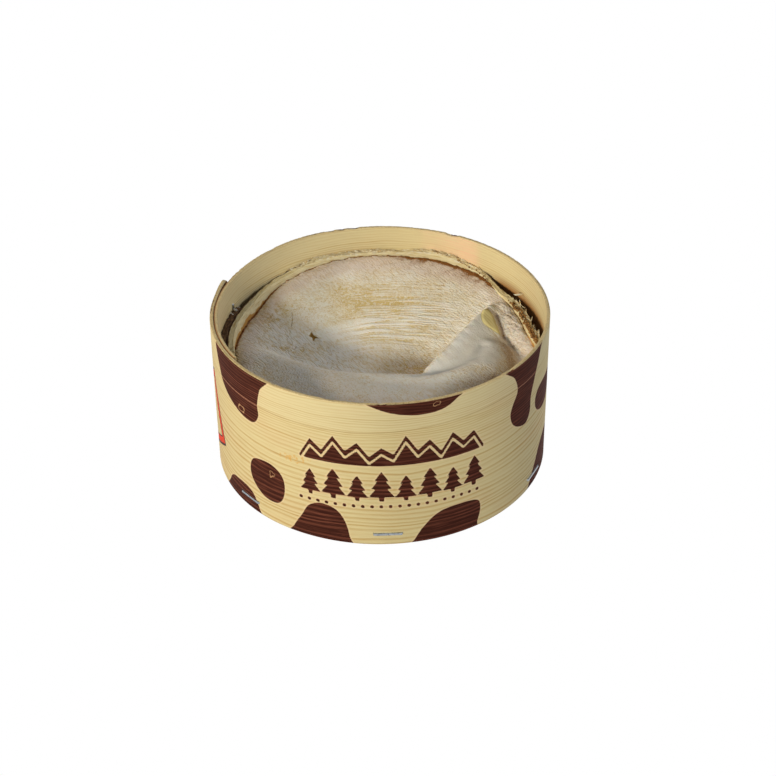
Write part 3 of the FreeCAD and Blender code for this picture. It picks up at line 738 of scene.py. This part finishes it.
def plain_fibre(name, pale, dark):
    """Loose wood or bark fibre: dull, streaked and uneven."""
    material, node = new_material(name)
    place = node("TexCoord")["Object"]
    streak = node("TexNoise", {"Vector": place, "Scale": 1200.0, "Detail": 3.0})[0]
    uneven = node("MapRange", {0: streak, 1: 0.38, 2: 0.66})[0]
    finish = node("Mix", {0: uneven, 6: linear(pale), 7: linear(dark)}, data_type="RGBA")[2]
    bump = node("Bump", {"Height": streak, "Strength": 0.5, "Distance": 0.1 * MM})[0]
    shader = node("BsdfPrincipled", {
        "Base Color": finish, "Roughness": 0.85, "Specular IOR Level": 0.2, "Normal": bump})[0]
    node("OutputMaterial", {0: shader})
    return material


# ---------------------------------------------------------------- the hoop

class VACHERIN_OT_hoop(bpy.types.Operator):
    """Rolls the printed veneer strip into the hoop"""
    bl_idname = "vacherin.hoop"
    bl_label = "Hoop"

    def execute(self, context):
        thick = context.scene.vacherin_hoop.thickness
        under_lap = np.linspace(HOOP_START, HOOP_END + 360, 50, endpoint=False)
        turns = np.concatenate([under_lap, np.linspace(HOOP_END + 360, HOOP_END, 701)])
        high = HOOP_HEIGHT
        outer = [(0.0, z) for z in np.linspace(0.2 * MM, high - 0.25 * MM, 96)]
        rim = [(s * thick, high - d * MM) for s, d in (
            (0.06, 0.08), (0.2, 0.0), (0.4, 0.04), (0.6, 0.0), (0.8, 0.03), (0.94, 0.09))]
        inner = [(thick, high - d * MM) for d in (
            0.25, 1.2, 2.5, 4, 6, 8, 10, 12, 14, 18, 30, 45, 60, 62.8)]
        foot = [(0.9 * thick, 0.0), (0.5 * thick, 0.0), (0.1 * thick, 0.0)]
        section = np.array(outer + rim + inner + foot + outer[:1])
        piece, column, row = new_grid("hoop_veneer", len(turns) - 1, len(section) - 1)
        turn, depth, level = turns[column], section[row, 0], section[row, 1]
        along = np.radians(turn - FRONT) * HOOP_RADIUS
        # The free end's top corner is rounded, and the rim is slightly frayed.
        to_end = np.radians(turn - HOOP_END) * HOOP_RADIUS
        short = np.clip(LAP_CORNER - to_end, 0, LAP_CORNER)
        corner = LAP_CORNER - np.sqrt(LAP_CORNER ** 2 - short ** 2)
        fray = np.abs(drift(along, depth * 3, 0.9 * MM, 3)) * 0.16 * MM
        fray += np.clip(drift(along, depth, 6 * MM, 4) - 0.75, 0, 1) * 0.7 * MM
        fray += (1 + drift(along, 0 * along, 45 * MM, 5)) * 0.1 * MM
        fray = np.maximum(fray, 0)
        z = level * (1 - (corner + fray) * ramp(level, high - 8 * MM, high) / high)
        radius = hoop_outside(turn) - depth
        radius -= (1 + drift(along, level, 26 * MM, 6, 2)) * 0.05 * MM
        write_rolled(piece, turn, radius, z)
        place = np.degrees(along / HOOP_RADIUS)
        inside = depth > 0.5 * thick
        sap = inside * (1 - ramp(np.abs(place - 152.5), 9, 14)) * ramp(z / MM, 49, 54)
        sap *= 0.9 - 0.45 * ramp(place, 143, 164) + 0.3 * drift(along, z * 4, 10 * MM, 8)
        # Painted shade: the wall is browned below the girdle's top where the girdle stands off it,
        # as the gap's shade.
        painted_gap_shade = inside * ramp(turn, -4, 6) * (1 - ramp(turn, 38, 47))
        painted_gap_shade *= 1 - ramp(z - girdle_top(turn), -1.5 * MM, 2.5 * MM)
        hidden = ramp(turn, 148, 158) * (1 - ramp(depth / thick, 0.1, 0.35))
        hidden *= ramp(z, high - 9 * MM, high - 3 * MM)
        write_attribute(piece, "strip", along, z, depth)
        brown = np.where(inside, 4 * MM, brown_print(along, z))
        red = np.where(inside, 4 * MM, red_print(along, z))
        write_attribute(piece, "print", brown, red, 0.55 * sap - 0.9 * hidden - 0.85 * painted_gap_shade)
        close_strip()
        finish_mesh(piece, 50)
        dress(piece, spruce_veneer(), "spruce_veneer", "hoop")
        return {"FINISHED"}


# ---------------------------------------------------------------- board and staples

class VACHERIN_OT_fittings(bpy.types.Operator):
    """Finishes the bottom board and the staples"""
    bl_idname = "vacherin.fittings"
    bl_label = "Board and staples"

    def execute(self, context):
        board, steel = spruce_board(), staple_steel()
        for name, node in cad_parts.items():
            if name == "bottom":
                node.material_slots[0].material = board
            elif "staple" in name:
                node.material_slots[0].material = steel
        return {"FINISHED"}


# ---------------------------------------------------------------- the bark girdle

class VACHERIN_OT_girdle(bpy.types.Operator):
    """Rolls the bark strip round the cheese"""
    bl_idname = "vacherin.girdle"
    bl_label = "Bark girdle"

    def execute(self, context):
        thick = context.scene.vacherin_girdle.thickness
        turns = np.linspace(GIRDLE_START, GIRDLE_END, 901)
        drops = np.array([60, 30, 18, 12, 8, 6, 5, 4, 3.2, 2.5, 1.9, 1.4, 1.0, 0.6, 0.3]) * MM
        outer = [(0.0, d) for d in drops]
        edge = [(s, 0.0) for s in np.linspace(0.05, 0.95, 10)]
        inner = [(1.0, d) for d in drops[::-1]]
        section = np.array(outer + edge + inner + [(0.5, drops[0])] + outer[:1])
        piece, column, row = new_grid("bark_strip", len(turns) - 1, len(section) - 1)
        turn, share, drop = turns[column], section[row, 0], section[row, 1]
        along = np.radians(turn - FRONT) * HOOP_RADIUS
        place = 270 - (270 - turn) % 360
        outer_layer = 1 - ramp(turn, -168, -160)
        back = ramp(place, 40, 56) * (1 - ramp(place, 112, 122))
        right = (1 - ramp(place, 26, 36)) * ramp(place, -14, -4)
        # The bast's torn edge is fibrous, the bark's is crumbly.
        ragged = 0.35 + 0.65 * np.maximum(back, right)
        torn = drift(along / 4, share * thick, 0.7 * MM, 11) * 0.3 * MM * ragged
        torn += drift(along, share * thick * 3, 2.6 * MM, 12) * 0.3 * MM * ragged
        torn += (1 - ramp(share, 0.0, 0.25)) * drift(along, share * thick, 1.2 * MM, 13) * 0.3 * MM
        z = np.maximum(girdle_top(turn) - drop, GIRDLE_LOW)
        at_top = 1 - ramp(drop, 0.0, 3 * MM)
        z += (torn - 0.35 * MM) * at_top
        rough = drift(along / 6, z, 0.8 * MM, 14) * 0.05 * MM
        rough += drift(along, z, 2.5 * MM, 15) * 0.1 * MM
        depth = share * thick + rough * np.where(share > 0.5, -1.0, 1.0) + 0.05 * MM
        radius = girdle_outside(turn) - depth
        write_rolled(piece, turn, radius, z)
        write_attribute(piece, "strip", along, z, depth)
        bark = 1 - ramp(share, 0.12, 0.3)
        bark *= 1 - back * at_top
        bark *= 1 - right * (drop == 0) * 0.9
        bark = np.maximum(bark, outer_layer)
        crusty = (1 - ramp(place, 3, 14)) * ramp(place, -14, -4)
        browned = (0.7 * crusty + 0.2 * right) * ramp(share, 0.45, 0.7) * at_top
        left = ramp(place, 128, 150) * 1.3 * MM
        left += 0.6 * left * drift(along, share, 4 * MM, 16, 2)
        rind = ramp(drop, 2.7 * MM + left, 3.5 * MM + left) * (share > 0.9)
        browned += 0.8 * rind * (1 - outer_layer)
        mould = outer_layer * 0.05 + 0.45 * back * at_top
        write_attribute(piece, "layer", bark, browned, mould)
        close_strip()
        finish_mesh(piece, 60)
        dress(piece, spruce_bark(), "spruce_bark", "bark_girdle")
        return {"FINISHED"}


# ---------------------------------------------------------------- the cheese

def labyrinth(reach, pitch, spacing, direction, seed):
    """Wrinkles on a square of the plan, about -1 to 1, running along a direction field."""
    count = int(2 * reach / pitch) + 1
    marks = np.linspace(-reach, reach, count)
    x, y = np.meshgrid(marks, marks, indexing="ij")
    heading, order = direction(x, y)
    f = np.fft.fftfreq(count, 2 * reach / (count - 1))
    fx, fy = np.meshgrid(f, f, indexing="ij")
    pace = np.hypot(fx, fy)
    band = np.exp(-((pace * spacing - 1) / 0.32) ** 2)
    facing = np.arctan2(fy, fx)
    ways = 10
    waves = np.random.default_rng(seed).normal(size=x.shape)
    for _ in range(7):
        spectrum = np.fft.fft2(waves) * band
        total, weights = np.zeros(x.shape), np.zeros(x.shape)
        for way in range(ways):
            run = math.pi * way / ways
            across = np.sin(facing - run) ** 2
            streaks = np.real(np.fft.ifft2(spectrum * np.exp(-((1 - across) / 0.1))))
            fits = np.exp(-np.sin(heading - run) ** 2 / order)
            total += streaks * fits
            weights += fits
        total /= weights
        waves = np.tanh(1.6 * total / total.std())
    return marks, waves


def sampled(marks, field, x, y):
    """A field on a square grid, read between its points."""
    pitch = marks[1] - marks[0]
    u = np.clip((x - marks[0]) / pitch, 0, len(marks) - 1.001)
    v = np.clip((y - marks[0]) / pitch, 0, len(marks) - 1.001)
    i, j = u.astype(int), v.astype(int)
    low = mixed(field[i, j], field[i + 1, j], u - i)
    high = mixed(field[i, j + 1], field[i + 1, j + 1], u - i)
    return mixed(low, high, v - j)


def skin_direction(x, y):
    """Heading of the wrinkles over the plan, and how freely they stray from it."""
    arcs = hill(x, y, 2, 34, 24, 13)
    streaks = np.radians(-58) + 0.25 * drift(x, y, 22 * MM, 21, 1)
    heading = mixed(streaks, -(x - 4 * MM) / (70 * MM), np.clip(1.4 * arcs, 0, 1))
    front = ramp(-y - 0.15 * x, 20 * MM, 28 * MM)
    heading = mixed(heading, np.radians(-72) + x / (60 * MM), front)
    maze = hill(x, y, -22, 30, 16, 14)
    return heading, 0.08 + 0.5 * maze + 0.15 * front


def blurred(field, times):
    """A grid of values, smoothed by its neighbours."""
    for _ in range(times):
        for axis in (0, 1):
            edge = np.pad(field, [(1, 1) if k == axis else (0, 0) for k in (0, 1)], "edge")
            before = np.take(edge, range(0, field.shape[axis]), axis)
            after = np.take(edge, range(2, field.shape[axis] + 2), axis)
            field = 0.25 * before + 0.5 * field + 0.25 * after
    return field


# Marks on the skin's plan, as millimetres right and back of the middle.
ROLL_CREASE = ((13, -25), (20, -22.5), (26, -19.5), (31, -16.5), (36.5, -12), (39.5, -5))
TORN_TIP = ((40.4, 17.8), (42.3, 20), (44.4, 15), (45.5, 10.5), (46.8, 6), (43.2, 6.6),
            (40.2, 8.8), (39.5, 13))
TIP_CREASE = ((46, 17), (46.4, 15), (47, 12.5), (47.8, 10), (48.2, 6.5))
WHITE_LUMP = ((47.8, 24.5), (50, 26), (53, 21.5), (55.5, 14), (57.3, 5.8), (57, -1.5),
              (53.5, -2.5), (50.4, 1), (48.9, 6), (48.6, 11), (48, 18))
FLAP_FACE = ((16, -24), (25, -8), (33, 5), (39, 15), (41, 6), (45, -2), (44, -17), (36, -20),
             (26, -22.5))
SHADED_TRENCH = ((48.5, -1), (49.5, -8), (50.5, -15), (49.5, -22), (43, -28))
ROLL_BLOOM_AND_LIGHT = ((-12, -32), (0, -33.5), (12, -34), (20, -33))
STAR_HOLE = ((-27.4, 16.6), (-26.3, 14.6), (-24.0, 12.6), (-25.8, 12.7), (-26.3, 10.2),
             (-27.0, 12.9), (-28.3, 13.9))
CRACKS = (((-35.5, 27), (-35, 23), (-35.4, 18.5)), ((-33, 5.5), (-33.8, 3.5)))


SKIN_CELLS = 300                # cells along each side of the skin's grid
WRINKLE_REACH = 66 * MM         # half the side of the square that holds the wrinkles
WRINKLE_PITCH = 0.4 * MM        # distance between the wrinkles' grid points


class VACHERIN_OT_cheese(bpy.types.Operator):
    """Shapes the cheese and its wrinkled skin"""
    bl_idname = "vacherin.cheese"
    bl_label = "Cheese"

    def execute(self, context):
        look = context.scene.vacherin_cheese
        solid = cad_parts["cheese"].data
        corners = [v.co.copy() for v in solid.vertices]
        tree = BVHTree.FromPolygons(corners, [tuple(p.vertices) for p in solid.polygons])
        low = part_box("cheese")[0].z
        piece, column, row = new_grid("cheese_body", SKIN_CELLS, SKIN_CELLS)
        a, b = 2 * column / SKIN_CELLS - 1, 2 * row / SKIN_CELLS - 1
        x, y = a * np.sqrt(1 - b * b / 2), b * np.sqrt(1 - a * a / 2)
        # The square grid's edge is drawn out to the wall of the solid.
        looks = np.radians(np.arange(-180, 181))
        centre = Vector((0, 0, low + 20 * MM))
        walls = [tree.ray_cast(centre, Vector((math.cos(t), math.sin(t), 0))) for t in looks]
        reach = np.interp(np.arctan2(y, x), looks, [hit[3] for hit in walls])
        share = np.hypot(x, y)
        x, y = x * reach, y * reach
        inward = (reach - 0.1 * MM) / reach
        down = Vector((0, 0, -1))
        z = np.array([tree.ray_cast(Vector((px, py, 0.1)), down)[0].z
                      for px, py in zip(x * inward, y * inward)])
        order = np.lexsort((row, column))
        grid = blurred(z[order].reshape(SKIN_CELLS + 1, SKIN_CELLS + 1), 6)
        z[order] = grid.ravel()
        to_rim = (1 - share) * reach

        marks, waves = labyrinth(
            WRINKLE_REACH, WRINKLE_PITCH, look.wrinkle_spacing, skin_direction, 7)
        wrinkle = sampled(marks, waves, x, y)
        place = np.degrees(np.arctan2(y, x))
        lump, tip, face = (marked(x, y, on_plan(smooth_outline(outline)))
                           for outline in (WHITE_LUMP, TORN_TIP, FLAP_FACE))
        hole = marked(x, y, on_plan(STAR_HOLE))
        for crack in CRACKS:
            add_stroke(hole, x, y, on_plan(crack), 0.12 * MM)
        crease, slit = (away_from(x, y, on_plan(line)) for line in (ROLL_CREASE, TIP_CREASE))

        ragged = drift(x, y, 2.2 * MM, 31) * 0.8 * MM
        raised = 1 - ramp(lump + ragged, -2.2 * MM, 0.2 * MM)
        raised *= 1 - fade(slit, 1.8)
        z += raised * (0.9 + 0.3 * drift(x, y, 5 * MM, 32, 2)) * MM
        crumpled = 1 - ramp(np.abs(drift(x, y, 3.2 * MM, 34, 2)), 0.0, 0.3)
        z -= raised * 0.45 * MM * crumpled
        z -= 1.6 * MM * fade(slit, 1.2)
        z -= 0.8 * MM * fade(crease, 2.3)
        z += 0.5 * MM * (1 - ramp(tip, -1.2 * MM, 0.4 * MM))
        z -= 0.7 * MM * (1 - ramp(hole, -0.5 * MM, 0.15 * MM))
        z += 0.18 * MM * drift(x, y, 9 * MM, 33)
        smooth = 1 - ramp(face, -2 * MM, 2 * MM)
        maze = hill(x, y, -28, 30, 17, 15)
        front = ramp(-y - 0.15 * x, 17 * MM, 24 * MM)
        maze = np.clip(maze + 0.4 * front + 0.4 * drift(x, y, 12 * MM, 37), 0, 1)
        z += wrinkle * look.wrinkle_depth * (1 - 0.8 * smooth) * (1 - 0.4 * maze + 0.5 * front)
        z += 0.35 * MM * drift(x, y, 1.6 * MM, 35) * (1 - ramp(to_rim, 0.3 * MM, 2.2 * MM))
        z = np.minimum(z, HOOP_HEIGHT)
        write_points(piece, np.stack([x, y, z], 1))

        arcs = hill(x, y, 4, 26, 26, 18)
        right_bowl = hill(x, y, 14, 2, 16, 17)
        yellow = hill(x, y, -3, 33, 22, 11)
        # Painted shade: the corner between the roll and the flap is made yellower and browner.
        corner = hill(x, y, 14, -6, 9, 9)
        # Partly white bloom, partly painted light: the roll's crest is made whiter, less pink and
        # less yellow.
        white = fade(away_from(x, y, on_plan(ROLL_BLOOM_AND_LIGHT)), 6)
        stain = hill(x, y, -44, 25, 7, 10) + 0.9 * hill(x, y, -34, 3, 7, 4)
        stain *= np.clip(2.2 * drift(x, y, 3 * MM, 43) + 0.45, 0, 1)
        yellowing = 0.18 + 0.68 * yellow + 0.2 * maze + 0.3 * right_bowl + 0.5 * corner
        yellowing -= 0.2 * smooth
        yellowing += 0.18 * drift(x, y, 13 * MM, 41) - 0.1 * white + 1.1 * stain
        yellowing += 0.35 * raised + 0.25 * ramp(y, 30 * MM, 46 * MM)
        blush = 0.8 * fade(to_rim - 4 * MM, 4) + 0.15
        blush += 0.55 * ramp(-y, 34 * MM, 50 * MM) - 0.8 * white
        blush += 0.8 * fade(to_rim - 7 * MM, 6) * ramp(y, 30 * MM, 48 * MM)
        bare_rim = ramp(place, 34, 44) * (1 - ramp(place, 76, 92))
        edge = 1 - ramp(to_rim, (0.3 + 1.2 * bare_rim) * MM, (1.5 + 2 * bare_rim) * MM)
        edge *= 0.9 + 0.4 * drift(x, y, 5 * MM, 42)
        worn = fade(to_rim, 6.5) * (0.5 + 0.5 * drift(x, y, 2.5 * MM, 44))
        edge += bare_rim * np.maximum(worn, 0)
        # Painted shade: the trench beside the lump, the slit beside the torn tip, the corner and
        # the roll's right end by the wall are browned; the rim's edge and the stains are brown in
        # their own colour.
        to_shaded_trench = away_from(x, y, on_plan(SHADED_TRENCH))
        brown = edge + 0.25 * stain + 0.5 * fade(to_shaded_trench, 3.2)
        brown += 0.5 * fade(slit, 1.2) + 0.25 * corner + 0.2 * raised
        brown += 0.4 * hill(x, y, 37, -34, 8, 8)
        # Partly grey bloom, partly painted shade: the crease between the roll and the flap is
        # greyed as painted shade, the lump is greyed with its bloom and the flap's face a little.
        grey = 0.5 * fade(crease, 3) + 0.25 * smooth + 0.25 * raised - 0.15 * white
        write_attribute(piece, "skin", wrinkle * (1 - 0.7 * maze), yellowing, blush)
        # The skin's grain: straight streaks at a slant, rings round a centre at the back.
        out = np.hypot(x - 5 * MM, y + 40 * MM)
        rings = np.clip(1.5 * arcs, 0, 1) - 0.85 * smooth - 0.25 * raised
        write_attribute(piece, "grain", out, rings, maze)
        write_attribute(piece, "marks", np.minimum(tip, hole), brown, grey)

        bpy.ops.object.mode_set(mode="EDIT")
        bpy.ops.mesh.select_mode(type="EDGE")
        bpy.ops.mesh.select_all(action="DESELECT")
        bpy.ops.mesh.select_non_manifold()
        for level in (0.97, 0.85, 0.5, 0.0):
            bpy.ops.mesh.extrude_edges_move()
            height = low + level * 34 * MM
            self.flatten(height, level)
        bpy.ops.mesh.edge_face_add()
        bpy.ops.object.mode_set(mode="OBJECT")
        finish_mesh(piece, 180)
        dress(piece, cheese_skin(), "cheese_rind", "cheese")
        return {"FINISHED"}

    def flatten(self, height, level):
        """Brings the selected edge loop to one height."""
        middle = (0.0, 0.0, height)
        bpy.ops.transform.resize(value=(1, 1, 0 if level < 0.9 else 0.15), center_override=middle)


# ---------------------------------------------------------------- loose fibres and crumbs

def chip(name, long, wide, thick):
    """A splinter: a bar along X, tapered and bent towards its ends."""
    deselect()
    bpy.ops.mesh.primitive_cube_add(size=1)
    piece = bpy.context.object
    piece.name = piece.data.name = name
    bpy.ops.object.mode_set(mode="EDIT")
    bpy.ops.transform.resize(value=(long, wide, thick))
    bpy.ops.mesh.subdivide(number_cuts=3)
    bpy.ops.object.mode_set(mode="OBJECT")
    spots = read_points(piece)
    along = spots[:, 0] / long * 2
    spots[:, 1:] *= (1 - 0.75 * np.abs(along) ** 3)[:, None]
    spots[:, 2] += 0.06 * long * along ** 2
    write_points(piece, spots)
    return piece


def crumb(name, size, seed):
    """A crumb: a small lump with an uneven surface."""
    deselect()
    bpy.ops.mesh.primitive_ico_sphere_add(subdivisions=2, radius=size / 2)
    piece = bpy.context.object
    piece.name = piece.data.name = name
    spots = read_points(piece)
    swell = 1 + 0.35 * drift(spots[:, 0], spots[:, 1] + spots[:, 2], size * 0.6, seed)
    write_points(piece, spots * swell[:, None])
    return piece


def scatter(model, spots, material, slot, seed):
    """Copies a model to each spot, each with its own turn and size, and joins the copies.

    A spot is (x, y, z, heading in degrees, size).
    """
    random = np.random.default_rng(seed)
    shape = read_points(model)
    copies = [model]
    for _ in spots[1:]:
        copy = model.copy()
        copy.data = model.data.copy()
        bpy.context.collection.objects.link(copy)
        copies.append(copy)
    for copy, (x, y, z, heading, size) in zip(copies, spots):
        yaw = math.radians(heading)
        pitch, bank = random.normal(0, 0.22), random.uniform(-0.9, 0.9)
        c, s = math.cos(bank), math.sin(bank)
        spun = shape * size @ np.array([[1, 0, 0], [0, c, s], [0, -s, c]])
        c, s = math.cos(pitch), math.sin(pitch)
        spun = spun @ np.array([[c, 0, s], [0, 1, 0], [-s, 0, c]])
        c, s = math.cos(yaw), math.sin(yaw)
        spun = spun @ np.array([[c, s, 0], [-s, c, 0], [0, 0, 1]])
        write_points(copy, spun + (x, y, z))
    deselect()
    for copy in copies:
        copy.select_set(True)
    bpy.context.view_layer.objects.active = model
    if len(copies) > 1:
        bpy.ops.object.join()
    finish_mesh(model, 40)
    dress(model, material, slot)


def edge_spots(count, first, last, shares, lift, sizes, seed):
    """Spots along the girdle's upper edge between two places, heading along the strip."""
    random = np.random.default_rng(seed)
    thick = bpy.context.scene.vacherin_girdle.thickness
    spots = []
    for _ in range(count):
        turn = random.uniform(first, last)
        radius = girdle_outside(np.array(turn)) - random.uniform(*shares) * thick
        angle = math.radians(turn)
        z = girdle_top(np.array(turn)) + random.uniform(*lift) * MM
        heading = turn + 90 + random.normal(0, 14)
        spots.append((
            radius * math.cos(angle), radius * math.sin(angle), z, heading,
            random.uniform(*sizes)))
    return spots


class VACHERIN_OT_shreds(bpy.types.Operator):
    """Lays the torn fibres on the girdle's edge"""
    bl_idname = "vacherin.shreds"
    bl_label = "Bast shreds"

    def execute(self, context):
        bast = plain_fibre("bast_fibre_torn", "E9E0C6", "B99A62")
        shreds = edge_spots(34, -6, 24, (-0.1, 0.5), (-0.4, 0.4), (0.5, 1.1), 51)
        shreds += edge_spots(110, 44, 126, (0.0, 1.0), (-0.5, 0.15), (0.5, 1.2), 52)
        shred = chip("bast_shreds", 3.6 * MM, 0.4 * MM, 0.22 * MM)
        scatter(shred, shreds, bast, "spruce_bark", 53)
        end = edge_spots(12, 188, 197, (0.3, 1.5), (-1.6, 0.8), (0.5, 1.1), 54)
        dark = plain_fibre("bark_splinter", "C9B58C", "4E3A26")
        splinter = chip("end_splinters", 4.2 * MM, 0.7 * MM, 0.3 * MM)
        scatter(splinter, end, dark, "spruce_bark", 55)
        wood = plain_fibre("spruce_splinter", "FBF8EE", "E4D8B8")
        spot = [(55.2 * MM, 26.8 * MM, 52.0 * MM, 27, 1.0)]
        splinter = chip("gap_splinter", 4.4 * MM, 0.8 * MM, 0.5 * MM)
        scatter(splinter, spot, wood, "spruce_veneer", 56)
        return {"FINISHED"}


class VACHERIN_OT_crumbs(bpy.types.Operator):
    """Drops the bark crumbs and the mould flecks on the girdle's edge"""
    bl_idname = "vacherin.crumbs"
    bl_label = "Crumbs and flecks"

    def execute(self, context):
        crust = plain_fibre("bark_crumb", "A57A48", "5A3A1E")
        crumbs = edge_spots(130, -8, 24, (0.55, 1.25), (-0.5, 0.25), (0.5, 1.3), 61)
        crumbs += edge_spots(16, 24, 60, (0.8, 1.25), (-0.7, 0.0), (0.4, 0.8), 62)
        scatter(crumb("bark_crumbs", 0.9 * MM, 1), crumbs, crust, "spruce_bark", 63)
        mould = plain_fibre("mould_fleck", "F2F0EA", "B9B5A8")
        flecks = edge_spots(9, -202, -196, (0.1, 0.8), (-0.2, 0.3), (0.4, 1.0), 64)
        flecks += edge_spots(6, -176, -168, (0.1, 0.9), (-0.2, 0.3), (0.4, 0.8), 65)
        scatter(crumb("mould_flecks", 0.8 * MM, 2), flecks, mould, "spruce_bark", 66)
        return {"FINISHED"}


# ---------------------------------------------------------------- the stage

def seen_directly(node):
    """1 where the camera or a reflection sees the surroundings, 0 where they light a piece."""
    path = node("LightPath")
    return node("Math", {0: path["Is Camera Ray"], 1: path["Is Glossy Ray"]},
                operation="MAXIMUM")[0]


# Name, degrees from the front, degrees up, metres wide and high, watts and colour.
LAMPS = (
    ("front_lamp", -27, 18.7, (0.27, 0.08), 7.0, "FFFDEC"),
    ("left_lamp", -80, 24, (0.2, 0.1), 3.3, "FFF0DA"),
    ("right_lamp", 90, 23, (0.18, 0.1), 3.3, "EEF6FF"),
)
LAMP_AIM = Vector((0, 0, 40 * MM))


class VACHERIN_OT_stage(bpy.types.Operator):
    """Adds the floor, the lights and the camera"""
    bl_idname = "vacherin.stage"
    bl_label = "Stage"

    def execute(self, context):
        look = context.scene.vacherin_stage
        deselect()
        bpy.ops.mesh.primitive_plane_add(size=8.0, location=(0, 0, 0))
        floor = context.object
        floor.name = floor.data.name = "floor"
        material, node = new_material("pale_floor")
        seen = seen_directly(node)
        matt = node("BsdfDiffuse", {"Color": linear("B4B4B2")})[0]
        glow = node("Emission", {"Color": (1, 1, 1, 1), "Strength": 1.0})[0]
        shown = node("MixShader", {0: seen, 1: matt, 2: glow})[0]
        node("OutputMaterial", {0: shown})
        floor.data.materials.append(material)
        self.add_world(context)
        for lamp in LAMPS:
            self.add_lamp(*lamp)
        self.add_camera(context, look)
        context.scene.view_settings.view_transform = "Standard"
        return {"FINISHED"}

    def add_world(self, context):
        world = bpy.data.worlds.new("soft_sky")
        world.use_nodes = True
        tree = world.node_tree
        tree.nodes.clear()
        node = functools.partial(add_node, tree)
        seen = seen_directly(node)
        sky = node("Background", {"Color": (1, 1, 1, 1), "Strength": 0.11})[0]
        white = node("Background", {"Color": (1, 1, 1, 1), "Strength": 1.0})[0]
        shown = node("MixShader", {0: seen, 1: sky, 2: white})[0]
        node("OutputWorld", {0: shown})
        context.scene.world = world

    def add_lamp(self, name, side, height, size, power, code):
        """A lamp a metre away that faces the cheese, in degrees from the front and up."""
        side, height = math.radians(side), math.radians(height)
        out = Vector((math.sin(side) * math.cos(height), -math.cos(side) * math.cos(height),
                      math.sin(height)))
        bpy.ops.object.light_add(type="AREA", location=LAMP_AIM + out)
        lamp = bpy.context.object
        lamp.name = lamp.data.name = name
        lamp.data.shape = "RECTANGLE"
        lamp.data.size, lamp.data.size_y = size
        lamp.data.energy = power
        lamp.data.color = linear(code)[:3]
        lamp.rotation_euler = out.to_track_quat("Z", "Y").to_euler()

    def add_camera(self, context, look):
        bpy.ops.object.camera_add()
        camera = context.object
        camera.name = camera.data.name = "camera"
        camera.data.lens = look.lens
        camera.data.sensor_width = 36.0
        camera.data.clip_start = 0.01
        target = Vector((look.target_right, 0, look.target_height))
        back = Vector((0, -math.cos(look.elevation), math.sin(look.elevation)))
        camera.location = target + look.distance * back
        camera.rotation_mode = "XYZ"
        turned = back.to_track_quat("Z", "Y").to_matrix().to_4x4()
        from_roll = turned.Rotation(look.roll, 4, "Z")
        camera.rotation_euler = (turned @ from_roll).to_euler()
        context.scene.camera = camera


# ---------------------------------------------------------------- panel and running

OPERATORS = (
    VACHERIN_OT_hoop, VACHERIN_OT_fittings, VACHERIN_OT_girdle, VACHERIN_OT_cheese,
    VACHERIN_OT_shreds, VACHERIN_OT_crumbs, VACHERIN_OT_stage,
)


class VACHERIN_PT_panel(bpy.types.Panel):
    bl_label = "Vacherin"
    bl_idname = "VACHERIN_PT_panel"
    bl_space_type = "VIEW_3D"
    bl_region_type = "UI"
    bl_category = "Vacherin"

    def draw(self, context):
        for name, group in SETTINGS.items():
            column = self.layout.column(align=True)
            for field in group.__annotations__:
                column.prop(getattr(context.scene, name), field)
        for operator in OPERATORS:
            self.layout.operator(operator.bl_idname)


def register():
    for kind in (*SETTINGS.values(), *OPERATORS, VACHERIN_PT_panel):
        bpy.utils.register_class(kind)
    for name, group in SETTINGS.items():
        setattr(bpy.types.Scene, name, PointerProperty(type=group))


def unregister():
    for name in SETTINGS:
        delattr(bpy.types.Scene, name)
    for kind in reversed((*SETTINGS.values(), *OPERATORS, VACHERIN_PT_panel)):
        bpy.utils.unregister_class(kind)


def main():
    register()
    for operator in OPERATORS:
        group, name = operator.bl_idname.split(".")
        getattr(getattr(bpy.ops, group), name)()


if __name__ == "__main__":
    main()
